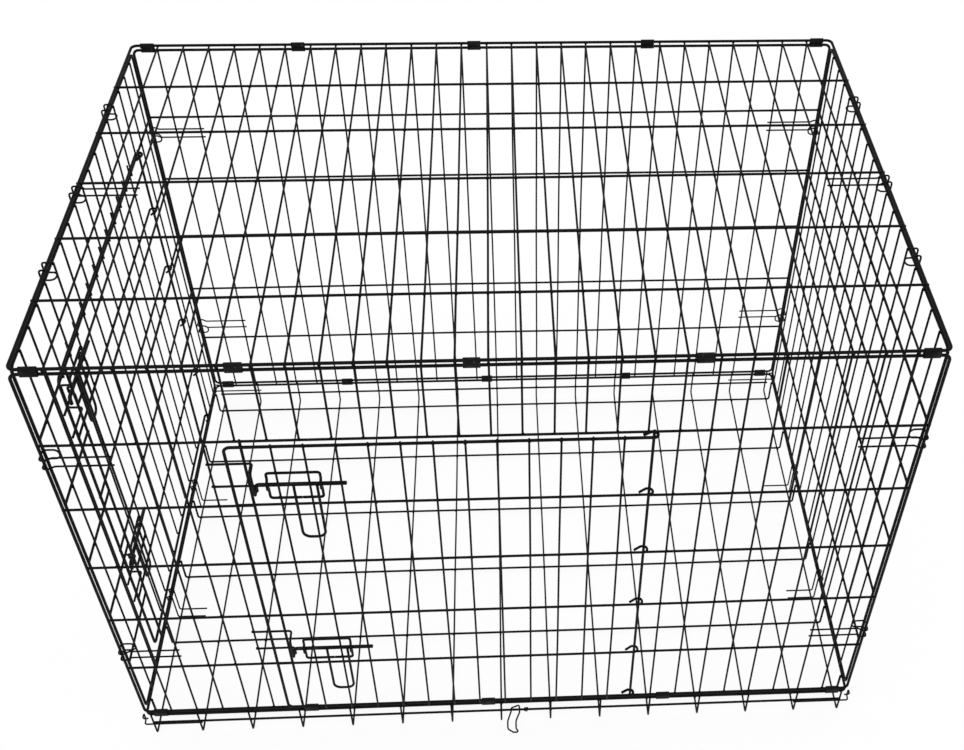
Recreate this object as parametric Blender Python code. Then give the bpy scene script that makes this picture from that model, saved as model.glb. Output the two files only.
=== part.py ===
"""Folding two-door dog crate of welded and coated steel wire.

Units are metres. +X runs along the crate, +Y to its back and +Z up. The origin is the middle of
the underside of the floor's middle cross wire, which the crate stands on.
"""

import math
from dataclasses import dataclass

import bmesh
import bpy
from mathutils import Matrix, Vector

# Overall size, between the centre lines of the edge rods
CRATE_LENGTH = 1.0668
CRATE_DEPTH = 0.7112
CRATE_HEIGHT = 0.762
LIP_HEIGHT = 0.0481

# Wire diameters
ROD_DIAMETER = 0.0038
UPRIGHT_DIAMETER = 0.0035
ROW_DIAMETER = 0.0032
COLUMN_DIAMETER = 0.0025
BOLT_DIAMETER = 0.0053
HANDLE_DIAMETER = 0.0034
GUIDE_DIAMETER = 0.0034
KEEPER_DIAMETER = 0.0030
HOOK_DIAMETER = 0.0023

# Fits between wires
CLEARANCE = 0.0003
WELD_SINK = 0.0003
RAIL_PITCH = 0.0075
END_MARGIN = 0.0098
CORNER_RADIUS = 0.008
BEND_RADIUS = 0.0035
COLUMN_OVERHANG = 0.0015
TOP_ROW_OVERHANG = 0.0030

# Mesh of the panels
ROW_BAYS = 6
COLUMN_PITCH = 0.0381
END_COLUMN_PITCH = 0.0395
WELD_EVERY = 7

# Floor basket
FLOOR_WIRE_PITCH = 0.0762
FLOOR_END_INSET = 0.0075
FLOOR_WELD_EVERY = 4
FLOOR_ROWS = 6
FLOOR_ROW_MARGIN = 0.0254
MID_LIP_HEIGHT = 0.0254

# Front door, from the panel's left edge
FRONT_LATCH_ROD = 0.2151
FRONT_HINGE = 0.73025
FRONT_FIRST_COLUMN = 0.0566
FRONT_LAST_COLUMN = 0.0361

# End door, from the crate's front edge
END_LATCH_ROD = 0.1163
END_HINGE = 0.6147
END_FIRST_COLUMN = 0.0640
END_LAST_COLUMN = 0.0394

# Both doors
DOOR_LAP = 0.0198
DOOR_DROP = 0.0050
DOOR_RISE = 0.0075
DOOR_HEAD_OVERHANG = 0.0070
CURL_PLAY = 0.0008
CURL_TAIL = 0.0130
UPRIGHT_OVERHANG = 0.0030

# Slide bolts, from the door's head, foot and latch rod, and from the bolt's axis
UPPER_BOLT_DROP = 0.0590
LOWER_BOLT_RISE = 0.1629
BOLT_START = 0.0084
BOLT_END = 0.1189
BOLT_TRAVEL = 0.0220
BOLT_TOE = 0.0120
BOLT_BEND = 0.0040
HANDLE_START = 0.0549
HANDLE_WIDTH = 0.0284
HANDLE_LENGTH = 0.0960
HANDLE_RADIUS = 0.0080
GUIDE_START = 0.0450
GUIDE_WIDTH = 0.0650
GUIDE_RISE = 0.0190
GUIDE_DROP = 0.0262
GUIDE_ARCH = 0.0040
GUIDE_SPREAD = 0.0080
GUIDE_SPLIT = 0.0008
GUIDE_SPLIT_SHARE = 0.6
KEEPER_TAIL = 0.0270
KEEPER_BOW = 0.0249
KEEPER_RISE = 0.0300
KEEPER_DROP = 0.0160

# Hinge clips
CLIP_LENGTH = 0.0200
CLIP_WALL = 0.0010
CLIP_SEAM = 0.0012
CLIP_END_OFFSET = 0.0225
CLIP_BAYS = (6.5, 13.5, 20.5)
CLIP_FLATS = 3

# Hooks that catch the end panels
HOOK_SPREAD = 0.0150
HOOK_LEG = 0.0810
HOOK_ROOT = 0.0060
HOOK_REACH = 0.0150
HOOK_PLAY = 0.0010
UPPER_HOOK_DROP = 0.1455
LOWER_HOOK_RISE = 0.1490
TOP_HOOK_BAYS = {"front": 4.5, "middle": 8.5, "back": 13.5}
RING_BAYS = {"front": 5.5, "back": 11.5}
RING_LEG = 0.0480
RING_PLAY = 0.0002
EYE_HEIGHT = 0.0290
EYE_RADIUS = 0.0035

# Pan stop
STOP_LEFT = 0.5486
STOP_WIDTH = 0.0127
STOP_REACH = 0.0250
STOP_TOE = 0.0060
STOP_CURL_SHARE = 0.6

# Coating of the wire and of the clips
COAT_COLOUR = (0.012, 0.012, 0.013, 1.0)
CLIP_COLOUR = (0.018, 0.018, 0.019, 1.0)
COAT_ROUGHNESS = 0.38
SHARP_ANGLE = 61
ARC_STEPS = 2
SAME_POINT = 0.00001


@dataclass(frozen=True)
class Gauge:
    """A wire size, drawn as a polygon with the area of the round wire."""

    diameter: float
    sides: int

    @property
    def reach(self):
        """Distance from the wire's centre line to a ridge."""
        step = 2 * math.pi / self.sides
        return self.diameter / 2 * math.sqrt(step / math.sin(step))

    @property
    def flat(self):
        """Distance from the wire's centre line to a flat."""
        return self.reach * math.cos(math.pi / self.sides)


ROD = Gauge(ROD_DIAMETER, 6)
UPRIGHT = Gauge(UPRIGHT_DIAMETER, 6)
ROW = Gauge(ROW_DIAMETER, 4)
COLUMN = Gauge(COLUMN_DIAMETER, 4)
FLOOR_WIRE = Gauge(COLUMN_DIAMETER, 5)
BOLT = Gauge(BOLT_DIAMETER, 6)
HANDLE = Gauge(HANDLE_DIAMETER, 6)
GUIDE = Gauge(GUIDE_DIAMETER, 4)
KEEPER = Gauge(KEEPER_DIAMETER, 4)
HOOK = Gauge(HOOK_DIAMETER, 4)

# Layers of a panel, measured outward from the plane of its edge rod. Columns lie on one side of
# the rods. Rows stand a little to the other side, so that a column misses them, and every seventh
# column is set deeper and is welded to them too.
COLUMN_LAYER = ROD.reach + COLUMN.reach - WELD_SINK
ROW_LAYER = ROW.reach + COLUMN.reach + CLEARANCE - COLUMN_LAYER
WELDED_LAYER = ROW.reach + COLUMN.reach - WELD_SINK - ROW_LAYER

# Layers in front of a door opening
DOOR_LAYER = UPRIGHT.reach + CURL_PLAY + ROD.reach
DOOR_FACE = DOOR_LAYER + COLUMN_LAYER + COLUMN.reach
GUIDE_LAYER = DOOR_FACE + GUIDE.reach - WELD_SINK
BOLT_LAYER = DOOR_FACE + CLEARANCE + BOLT.reach
ARCH_LAYER = BOLT_LAYER + BOLT.reach + 2 * CLEARANCE + GUIDE.reach
HANDLE_LAYER = BOLT_LAYER + BOLT.reach + HANDLE.reach - WELD_SINK
KEEPER_LAYER = COLUMN.reach - COLUMN_LAYER + KEEPER.reach - WELD_SINK

# Heights of the side panels and of their rows
PANEL_FOOT = LIP_HEIGHT + RAIL_PITCH
PANEL_HEAD = CRATE_HEIGHT - RAIL_PITCH
ROW_PITCH = (PANEL_HEAD - PANEL_FOOT) / ROW_BAYS
DOOR_FOOT = PANEL_FOOT + DOOR_RISE
DOOR_HEAD = PANEL_HEAD - ROW_PITCH - DOOR_DROP
BOLT_HEIGHTS = {"upper": DOOR_HEAD - UPPER_BOLT_DROP, "lower": DOOR_FOOT + LOWER_BOLT_RISE}
CORNER_HOOK_HEIGHTS = {"upper": PANEL_HEAD - UPPER_HOOK_DROP, "lower": PANEL_FOOT + LOWER_HOOK_RISE}

# Floor basket, from the ground up
FLOOR_WIRE_LAYER = FLOOR_WIRE.flat
FLOOR_ROW_LAYER = FLOOR_WIRE_LAYER + FLOOR_WIRE.reach + CLEARANCE + ROW.reach
LIP_WIRE_OFFSET = ROD.flat + FLOOR_WIRE.reach - WELD_SINK
FLOOR_HOOK_LAYER = FLOOR_ROW_LAYER


@dataclass(frozen=True)
class Side:
    """A plane of the crate: its corner, the ways along and up in it, and the way outward."""

    corner: Vector
    along: Vector
    up: Vector
    out: Vector

    def at(self, s, t, n=0.0):
        """Point at s along, t up and n outward from the corner."""
        return self.corner + self.along * s + self.up * t + self.out * n


X = Vector((1, 0, 0))
Y = Vector((0, 1, 0))
Z = Vector((0, 0, 1))
LEFT = -CRATE_LENGTH / 2
FRONT = -CRATE_DEPTH / 2

FRONT_SIDE = Side(Vector((LEFT, FRONT, 0)), X, Z, -Y)
BACK_SIDE = Side(Vector((LEFT, -FRONT, 0)), X, Z, Y)
LEFT_SIDE = Side(Vector((LEFT, FRONT, 0)), Y, Z, -X)
RIGHT_SIDE = Side(Vector((-LEFT, FRONT, 0)), Y, Z, X)
TOP_SIDE = Side(Vector((LEFT, FRONT, CRATE_HEIGHT)), X, Y, Z)
FLOOR_SIDE = Side(Vector((LEFT, FRONT, 0)), X, Y, Z)


def rounded(corners, closed=False, steps=ARC_STEPS):
    """Turn (point, radius) corners into a path whose bends are arcs."""
    path = []
    last = len(corners) - 1
    for i, (point, radius) in enumerate(corners):
        if radius == 0 or (not closed and i in (0, last)):
            path.append(point)
            continue
        before = (corners[i - 1][0] - point).normalized()
        after = (corners[(i + 1) % len(corners)][0] - point).normalized()
        turn = math.pi - before.angle(after)
        start = point + before * radius * math.tan(turn / 2)
        centre = point + (before + after).normalized() * (radius / math.cos(turn / 2))
        axis = after.cross(before)
        for k in range(steps + 1):
            swing = Matrix.Rotation(turn * k / steps, 3, axis)
            path.append(centre + swing @ (start - centre))
    return [point for i, point in enumerate(path) if i == 0 or (point - path[i - 1]).length > SAME_POINT]


class Wires:
    """Wires that share one mesh. Wires of one set don't touch each other."""

    def __init__(self, mesh=None):
        self.mesh = mesh or bmesh.new()

    def add(self, path, gauge, ridge, closed=False):
        """Sweep the gauge's polygon along the path, with its first ridge facing the given way."""
        count = len(path)
        legs = [(path[(i + 1) % count] - path[i]).normalized() for i in range(count)]
        first = legs[-1] if closed else legs[0]
        across = (ridge - first * ridge.dot(first)).normalized()
        beside = first.cross(across)
        ring = []
        for k in range(gauge.sides):
            angle = 2 * math.pi * k / gauge.sides
            ring.append(path[0] + (across * math.cos(angle) + beside * math.sin(angle)) * gauge.reach)
        rings = []
        for i, point in enumerate(path):
            along = legs[i - 1] if closed or i > 0 else legs[0]
            onward = legs[i] if closed or i < count - 1 else along
            mitre = (along + onward).normalized()
            ring = [v + along * ((point - v).dot(mitre) / along.dot(mitre)) for v in ring]
            rings.append([self.mesh.verts.new(v) for v in ring])
        spans = list(zip(rings, rings[1:]))
        if closed:
            spans.append((rings[-1], rings[0]))
        else:
            self.mesh.faces.new(list(reversed(rings[0])))
            self.mesh.faces.new(rings[-1])
        for near, far in spans:
            for k in range(gauge.sides):
                nxt = (k + 1) % gauge.sides
                self.mesh.faces.new((near[k], near[nxt], far[nxt], far[k]))

    def straight(self, start, end, gauge, ridge):
        """Add one straight wire."""
        self.add([start, end], gauge, ridge)


def coat(name, colour):
    """Make a coated steel material."""
    material = bpy.data.materials.new(name)
    material.use_nodes = True
    shader = material.node_tree.nodes["Principled BSDF"]
    shader.inputs["Base Color"].default_value = colour
    shader.inputs["Roughness"].default_value = COAT_ROUGHNESS
    shader.inputs["Metallic"].default_value = 0.0
    return material


def as_object(name, mesh_source):
    """Make an object of a bmesh, which is used up."""
    mesh = bpy.data.meshes.new(name)
    mesh_source.to_mesh(mesh)
    mesh_source.free()
    body = bpy.data.objects.new(name, mesh)
    bpy.context.scene.collection.objects.link(body)
    return body


def weld(body, other):
    """Join another object to the body by a Boolean union and remove the other object."""
    union = body.modifiers.new("weld", "BOOLEAN")
    union.operation = "UNION"
    union.solver = "EXACT"
    union.object = other
    evaluated = body.evaluated_get(bpy.context.evaluated_depsgraph_get())
    joined = bpy.data.meshes.new_from_object(evaluated)
    body.modifiers.clear()
    body.data = joined
    bpy.data.objects.remove(other)


def piece(name, layers, origin=None, parent=None, colour=COAT_COLOUR):
    """Weld layers of wires into one named body, with its origin at the given point."""
    body = as_object(name, layers[0].mesh)
    for layer in layers[1:]:
        weld(body, as_object(name + "_layer", layer.mesh))
    origin = origin or Vector((0, 0, 0))
    body.data.transform(Matrix.Translation(-origin))
    body.data.shade_smooth()
    body.data.set_sharp_from_angle(angle=math.radians(SHARP_ANGLE))
    body.data.materials.clear()
    body.data.materials.append(coat(name + "_coat", colour))
    body.location = origin
    if parent:
        body.parent = parent
        body.location = origin - whereabouts(parent)
    return body


def whereabouts(body):
    """World position of an object's origin. Every object here is unrotated."""
    place = body.location.copy()
    while body.parent:
        body = body.parent
        place += body.location
    return place


def edge_rod(side, left, right, foot, head):
    """Closed edge rod of a panel, with rounded corners."""
    wires = Wires()
    corners = [(left, foot), (right, foot), (right, head), (left, head)]
    path = rounded([(side.at(s, t), CORNER_RADIUS) for s, t in corners], closed=True)
    wires.add(path, ROD, side.out, closed=True)
    return wires


def row_wires(side, spans):
    """Straight rows, each from (start, end, height)."""
    wires = Wires()
    for start, end, height in spans:
        wires.straight(side.at(start, height, ROW_LAYER), side.at(end, height, ROW_LAYER), ROW, side.out)
    return wires


def column_wires(side, columns):
    """Thin columns on the inner side, each from (place, foot, head, welded to the rows)."""
    wires = Wires()
    for place, foot, head, welded in columns:
        layer = -WELDED_LAYER if welded else -COLUMN_LAYER
        wires.straight(side.at(place, foot, layer), side.at(place, head, layer), COLUMN, side.out)
    return wires


def row_heights():
    """Heights of the rows of a side panel, from the top one down."""
    return [PANEL_HEAD - ROW_PITCH * i for i in range(1, ROW_BAYS)]


def column_places(span, pitch):
    """Evenly spaced places between the two edges of a span."""
    bays = round(span / pitch)
    return [span * k / bays for k in range(1, bays)]


def plain_panel(name, side, span, margin, pitch, foot_overhang=COLUMN_OVERHANG):
    """Side panel without a door."""
    left = margin
    right = span - margin
    rows = [(left, right, height) for height in row_heights()]
    columns = []
    for k, place in enumerate(column_places(span, pitch), start=1):
        columns.append((place, PANEL_FOOT - foot_overhang, PANEL_HEAD + COLUMN_OVERHANG, k % WELD_EVERY == 0))
    layers = [
        edge_rod(side, left, right, PANEL_FOOT, PANEL_HEAD),
        row_wires(side, rows),
        column_wires(side, columns),
    ]
    origin = side.at(span / 2, PANEL_FOOT)
    return piece(name, layers, origin)


def door_panel(name, side, span, margin, pitch, latch_rod, hinge):
    """Side panel with a door opening between two uprights, and the keepers of the bolts."""
    left = margin
    right = span - margin
    opening = latch_rod + DOOR_LAP
    heights = row_heights()
    rows = [(left, right, heights[0])]
    for height in heights[1:]:
        rows.append((left, opening, height))
        rows.append((hinge, right, height))
    uprights = Wires()
    for place in (opening, hinge):
        top = side.at(place, heights[0] + UPRIGHT_OVERHANG)
        uprights.straight(side.at(place, PANEL_FOOT + WELD_SINK), top, UPRIGHT, side.out)
    columns = []
    for k, place in enumerate(column_places(span, pitch), start=1):
        beside_opening = opening - pitch / 2 < place < hinge
        foot = heights[0] - COLUMN_OVERHANG if beside_opening else PANEL_FOOT - COLUMN_OVERHANG
        columns.append((place, foot, PANEL_HEAD + COLUMN_OVERHANG, beside_opening or k % WELD_EVERY == 0))
    layers = [
        edge_rod(side, left, right, PANEL_FOOT, PANEL_HEAD),
        row_wires(side, rows),
        uprights,
        column_wires(side, columns),
        keepers(side, latch_rod),
    ]
    origin = side.at(span / 2, PANEL_FOOT)
    return piece(name, layers, origin)


def keepers(side, latch_rod):
    """Hairpins on a panel, whose bows stand out over the bolts' ends."""
    wires = Wires()
    tail = latch_rod - KEEPER_TAIL
    bow = latch_rod + KEEPER_BOW
    for height in BOLT_HEIGHTS.values():
        head = height + KEEPER_RISE
        foot = height - KEEPER_DROP
        corners = [
            (side.at(tail, head, KEEPER_LAYER), 0),
            (side.at(bow, head, KEEPER_LAYER), BEND_RADIUS),
            (side.at(bow, head, ARCH_LAYER), BEND_RADIUS),
            (side.at(bow, foot, ARCH_LAYER), BEND_RADIUS),
            (side.at(bow, foot, KEEPER_LAYER), BEND_RADIUS),
            (side.at(tail, foot, KEEPER_LAYER), 0),
        ]
        wires.add(rounded(corners), KEEPER, side.out)
    return wires


def curl(side, hinge, height, layer, gauge):
    """Corners of a wire's curl round the hinge upright, from its free end to the door's plane."""
    free_end = layer - 2 * gauge.reach - 2 * CLEARANCE
    return [
        (side.at(hinge - CURL_TAIL, height, free_end), 0),
        (side.at(hinge - BEND_RADIUS, height, -DOOR_LAYER), BEND_RADIUS),
        (side.at(hinge + DOOR_LAYER, height, -DOOR_LAYER), layer),
        (side.at(hinge + DOOR_LAYER, height, layer), layer),
    ]


def door_frame(side, latch_rod, hinge):
    """Three-sided rod of a door, curled round the hinge upright at both ends."""
    wires = Wires()
    corners = curl(side, hinge, DOOR_HEAD, DOOR_LAYER, ROD)
    corners.append((side.at(latch_rod, DOOR_HEAD, DOOR_LAYER), CORNER_RADIUS))
    corners.append((side.at(latch_rod, DOOR_FOOT, DOOR_LAYER), CORNER_RADIUS))
    corners.extend(reversed(curl(side, hinge, DOOR_FOOT, DOOR_LAYER, ROD)))
    wires.add(rounded(corners), ROD, side.out)
    return wires


def guides(side, latch_rod):
    """Wire loops on a door that the bolts slide in."""
    wires = Wires()
    start = latch_rod + GUIDE_START
    end = start + GUIDE_WIDTH
    split = start + GUIDE_WIDTH * GUIDE_SPLIT_SHARE
    for height in BOLT_HEIGHTS.values():
        head = height + GUIDE_RISE
        foot = height - GUIDE_DROP
        jog = [
            (-GUIDE_SPREAD, GUIDE_LAYER),
            (-GUIDE_ARCH, ARCH_LAYER),
            (GUIDE_ARCH, ARCH_LAYER),
            (GUIDE_SPREAD, GUIDE_LAYER),
        ]
        corners = [(side.at(split + GUIDE_SPLIT, foot, GUIDE_LAYER), 0)]
        corners.append((side.at(end, foot, GUIDE_LAYER), BEND_RADIUS))
        corners.extend((side.at(end, height + rise, layer), 0) for rise, layer in jog)
        corners.append((side.at(end, head, GUIDE_LAYER), BEND_RADIUS))
        corners.append((side.at(start, head, GUIDE_LAYER), BEND_RADIUS))
        corners.extend((side.at(start, height + rise, layer), 0) for rise, layer in reversed(jog))
        corners.append((side.at(start, foot, GUIDE_LAYER), BEND_RADIUS))
        corners.append((side.at(split, foot, GUIDE_LAYER), 0))
        wires.add(rounded(corners), GUIDE, side.out)
    return wires


def door(name, side, panel, latch_rod, hinge, first_column, last_column, pitch):
    """Door that hangs on its panel's hinge upright. Its origin is on the hinge axis."""
    rows = Wires()
    row_layer = DOOR_LAYER - ROW_LAYER
    for height in row_heights()[1:]:
        corners = curl(side, hinge, height + DOOR_RISE, row_layer, ROW)
        corners.append((side.at(latch_rod, height + DOOR_RISE, row_layer), 0))
        rows.add(rounded(corners), ROW, side.out)
    columns = Wires()
    first = latch_rod + first_column
    gaps = round((hinge - last_column - first) / pitch)
    for k in range(gaps + 1):
        place = first + (hinge - last_column - first) * k / gaps
        layer = DOOR_LAYER + (WELDED_LAYER if k % WELD_EVERY == WELD_EVERY - 1 else COLUMN_LAYER)
        foot = side.at(place, DOOR_FOOT - COLUMN_OVERHANG, layer)
        head = side.at(place, DOOR_HEAD + DOOR_HEAD_OVERHANG, layer)
        columns.straight(foot, head, COLUMN, side.out)
    layers = [door_frame(side, latch_rod, hinge), rows, columns, guides(side, latch_rod)]
    return piece(name, layers, side.at(hinge, DOOR_FOOT), panel)


def slide_bolt(name, side, parent, latch_rod, height):
    """Round bolt with a bent toe and a welded U handle, drawn back from its keeper."""
    toe = latch_rod + BOLT_START + BOLT_TRAVEL
    tail = latch_rod + BOLT_END + BOLT_TRAVEL
    bar = Wires()
    corners = [
        (side.at(toe, height - BOLT_TOE, BOLT_LAYER), 0),
        (side.at(toe, height, BOLT_LAYER), BOLT_BEND),
        (side.at(tail, height, BOLT_LAYER), 0),
    ]
    bar.add(rounded(corners), BOLT, side.out)
    handle = Wires()
    near = latch_rod + HANDLE_START + BOLT_TRAVEL
    far = near + HANDLE_WIDTH
    top = height + HANDLE.reach
    corners = [
        (side.at(near, top, HANDLE_LAYER), 0),
        (side.at(near, height - HANDLE_LENGTH, HANDLE_LAYER), HANDLE_RADIUS),
        (side.at(far, height - HANDLE_LENGTH, HANDLE_LAYER), HANDLE_RADIUS),
        (side.at(far, top, HANDLE_LAYER), 0),
    ]
    handle.add(rounded(corners), HANDLE, side.out)
    return piece(name, [bar, handle], side.at(tail, height, BOLT_LAYER), parent)


def top_panel():
    """Top panel, whose long wires run from end to end over the cross wires."""
    rows = []
    for i in range(1, ROW_BAYS):
        rows.append((-TOP_ROW_OVERHANG, CRATE_LENGTH + TOP_ROW_OVERHANG, CRATE_DEPTH * i / ROW_BAYS))
    columns = []
    for k, place in enumerate(column_places(CRATE_LENGTH, COLUMN_PITCH), start=1):
        columns.append((place, -COLUMN_OVERHANG, CRATE_DEPTH + COLUMN_OVERHANG, k % WELD_EVERY == 0))
    layers = [
        edge_rod(TOP_SIDE, 0, CRATE_LENGTH, 0, CRATE_DEPTH),
        row_wires(TOP_SIDE, rows),
        column_wires(TOP_SIDE, columns),
    ]
    return piece("top_panel", layers, TOP_SIDE.at(CRATE_LENGTH / 2, CRATE_DEPTH / 2))


def floor_basket():
    """Floor whose cross wires and long wires turn up at their ends to the edge rod."""
    rod = Wires()
    corners = [(0, 0), (CRATE_LENGTH, 0), (CRATE_LENGTH, CRATE_DEPTH), (0, CRATE_DEPTH)]
    path = rounded([(FLOOR_SIDE.at(s, t, LIP_HEIGHT), CORNER_RADIUS) for s, t in corners], closed=True)
    rod.add(path, ROD, Z, closed=True)

    long_wires = Wires()
    upturn = ROD.flat + ROW.reach - WELD_SINK
    lip_top = LIP_HEIGHT + COLUMN_OVERHANG
    for k in range(FLOOR_ROWS):
        place = FLOOR_ROW_MARGIN + (CRATE_DEPTH - 2 * FLOOR_ROW_MARGIN) * k / (FLOOR_ROWS - 1)
        corners = [
            (FLOOR_SIDE.at(upturn, place, lip_top), 0),
            (FLOOR_SIDE.at(upturn, place, FLOOR_ROW_LAYER), BEND_RADIUS),
            (FLOOR_SIDE.at(CRATE_LENGTH - upturn, place, FLOOR_ROW_LAYER), BEND_RADIUS),
            (FLOOR_SIDE.at(CRATE_LENGTH - upturn, place, lip_top), 0),
        ]
        long_wires.add(rounded(corners), ROW, Y)
    lip_end = FLOOR_END_INSET - FLOOR_WIRE.reach - COLUMN_OVERHANG
    for depth in (0, CRATE_DEPTH):
        start = FLOOR_SIDE.at(lip_end, depth, MID_LIP_HEIGHT)
        end = FLOOR_SIDE.at(CRATE_LENGTH - lip_end, depth, MID_LIP_HEIGHT)
        long_wires.straight(start, end, ROW, Z)

    cross_wires = Wires()
    bays = round(CRATE_LENGTH / FLOOR_WIRE_PITCH)
    for k in range(bays + 1):
        place = min(max(CRATE_LENGTH * k / bays, FLOOR_END_INSET), CRATE_LENGTH - FLOOR_END_INSET)
        welded = abs(2 * k - bays) % (2 * FLOOR_WELD_EVERY) == 2 * FLOOR_WELD_EVERY - 2
        layer = FLOOR_WIRE_LAYER + (WELD_SINK + CLEARANCE if welded else 0)
        corners = [
            (FLOOR_SIDE.at(place, -LIP_WIRE_OFFSET, lip_top), 0),
            (FLOOR_SIDE.at(place, -LIP_WIRE_OFFSET, layer), BEND_RADIUS),
            (FLOOR_SIDE.at(place, CRATE_DEPTH + LIP_WIRE_OFFSET, layer), BEND_RADIUS),
            (FLOOR_SIDE.at(place, CRATE_DEPTH + LIP_WIRE_OFFSET, lip_top), 0),
        ]
        cross_wires.add(rounded(corners), FLOOR_WIRE, Y)
    return piece("floor_basket", [rod, long_wires, cross_wires])


def hinge_clip(name, side, place, edge, parent):
    """Sheet-metal sleeve that wraps two paired rods, with its seam facing into the crate."""
    inner = ROD.reach + 2 * CLEARANCE
    outer = inner + CLIP_WALL
    half = RAIL_PITCH / 2

    def outline(radius):
        seam = CLIP_SEAM / 2
        lap = [(-seam, -radius)]
        for centre, first in ((-half, -90), (half, 90)):
            for k in range(CLIP_FLATS + 1):
                angle = math.radians(first - 180 * k / CLIP_FLATS)
                lap.append((centre + radius * math.cos(angle), radius * math.sin(angle)))
        lap.append((seam, -radius))
        return lap

    shell = bmesh.new()
    start = place - CLIP_LENGTH / 2
    ends = []
    for s in (start, start + CLIP_LENGTH):
        ring = []
        for radius in (inner, outer):
            ring.append([shell.verts.new(side.at(s, edge + t, n)) for t, n in outline(radius)])
        ends.append(ring)
    (near_in, near_out), (far_in, far_out) = ends
    count = len(near_in)
    for k in range(count - 1):
        shell.faces.new((near_out[k], near_out[k + 1], far_out[k + 1], far_out[k]))
        shell.faces.new((near_in[k + 1], near_in[k], far_in[k], far_in[k + 1]))
        shell.faces.new((near_in[k], near_in[k + 1], near_out[k + 1], near_out[k]))
        shell.faces.new((far_in[k + 1], far_in[k], far_out[k], far_out[k + 1]))
    for k in (0, count - 1):
        shell.faces.new((near_in[k], near_out[k], far_out[k], far_in[k]))
    bmesh.ops.recalc_face_normals(shell, faces=shell.faces)
    return piece(name, [Wires(shell)], side.at(place, edge), parent, CLIP_COLOUR)


def catch_hook(name, edge, middle, leg, rod_depth, parent):
    """Wire hook from a panel's face round its edge, behind the paired rod of an end panel.

    edge is a Side whose up runs along the panel's edge, along leads inward over the panel's face
    and out is the face's outward way. rod_depth is how far behind the face's plane the rod is.
    """
    over = ROD.reach + CLEARANCE + HOOK.reach
    flush = COLUMN.reach - COLUMN_LAYER + CLEARANCE + HOOK.reach
    under = -rod_depth - ROD.flat - HOOK_PLAY - HOOK.reach
    wires = Wires()

    def arm(b):
        start = [(edge.at(leg, b, flush), 0), (edge.at(3 * BEND_RADIUS, b, flush), 0)]
        if leg <= 3 * BEND_RADIUS:
            start = [(edge.at(leg, b, over), 0)]
        else:
            start.append((edge.at(BEND_RADIUS, b, over), 0))
        start.append((edge.at(-over, b, over), BEND_RADIUS))
        start.append((edge.at(-over, b, under), BEND_RADIUS))
        start.append((edge.at(HOOK_REACH, b, under), BEND_RADIUS))
        return start

    half = HOOK_SPREAD / 2
    corners = arm(middle + half)
    corners.extend(reversed(arm(middle - half)))
    wires.add(rounded(corners), HOOK, edge.up)
    return piece(name, [wires], edge.at(0, middle, 0), parent)


def hinge_ring(name, edge, middle, parent):
    """Hairpin from the floor that holds an end panel's lower rod, which turns in it."""
    around = ROD.reach + CLEARANCE + RING_PLAY + HOOK.reach
    wires = Wires()

    def arm(b):
        return [
            (edge.at(RING_LEG, b, FLOOR_HOOK_LAYER), 0),
            (edge.at(around, b, FLOOR_HOOK_LAYER), BEND_RADIUS),
            (edge.at(around, b, PANEL_FOOT + around), around),
            (edge.at(-around, b, PANEL_FOOT + around), around),
            (edge.at(-around, b, LIP_HEIGHT - ROD.reach), BEND_RADIUS),
        ]

    half = HOOK_SPREAD / 2
    corners = arm(middle + half)
    corners.extend(reversed(arm(middle - half)))
    wires.add(rounded(corners), HOOK, edge.up)
    return piece(name, [wires], edge.at(0, middle, PANEL_FOOT), parent)


def floor_eye(name, side, parent):
    """Short wire on the lip's outer side, curled into an eye round the floor's corner."""
    layer = LIP_WIRE_OFFSET + FLOOR_WIRE.flat + CLEARANCE + HOOK.reach
    wires = Wires()
    corners = [
        (side.at(HOOK_LEG, EYE_HEIGHT, layer), 0),
        (side.at(-layer, EYE_HEIGHT, layer), EYE_RADIUS),
        (side.at(-layer, EYE_HEIGHT, -EYE_RADIUS), EYE_RADIUS),
        (side.at(0, EYE_HEIGHT, -EYE_RADIUS), 0),
    ]
    wires.add(rounded(corners), HOOK, side.up)
    return piece(name, [wires], side.at(0, EYE_HEIGHT), parent)


def pan_stop(parent):
    """Wire loop that turns on the front mid-lip wire and rests on the ground in front of it."""
    around = ROW.reach + CLEARANCE + HOOK.reach
    ground = HOOK.reach + CLEARANCE - MID_LIP_HEIGHT
    wires = Wires()

    def leg(s):
        return [
            (FRONT_SIDE.at(s, MID_LIP_HEIGHT - around, HOOK.reach), 0),
            (FRONT_SIDE.at(s, MID_LIP_HEIGHT - around, -around), around),
            (FRONT_SIDE.at(s, MID_LIP_HEIGHT + around, -around), around),
            (FRONT_SIDE.at(s, MID_LIP_HEIGHT + around, around), around * STOP_CURL_SHARE),
            (FRONT_SIDE.at(s, MID_LIP_HEIGHT + ground, STOP_REACH - STOP_TOE), BEND_RADIUS),
            (FRONT_SIDE.at(s, MID_LIP_HEIGHT + ground, STOP_REACH), BEND_RADIUS),
        ]

    corners = leg(STOP_LEFT)
    corners.extend(reversed(leg(STOP_LEFT + STOP_WIDTH)))
    wires.add(rounded(corners), HOOK, X)
    origin = FRONT_SIDE.at(STOP_LEFT + STOP_WIDTH / 2, MID_LIP_HEIGHT)
    return piece("pan_stop", [wires], origin, parent)


def hinge_clips(top, floor):
    """Five clips on each of the four long edges."""
    places = [CLIP_END_OFFSET]
    places.extend(bay * COLUMN_PITCH for bay in CLIP_BAYS)
    places.append(CRATE_LENGTH - CLIP_END_OFFSET)
    for level, parent, edge in (
        ("top", top, CRATE_HEIGHT - RAIL_PITCH / 2),
        ("floor", floor, LIP_HEIGHT + RAIL_PITCH / 2),
    ):
        for where, side in (("front", FRONT_SIDE), ("back", BACK_SIDE)):
            for number, place in enumerate(places, start=1):
                hinge_clip(f"{level}_{where}_clip_{number}", side, place, edge, parent)


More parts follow.
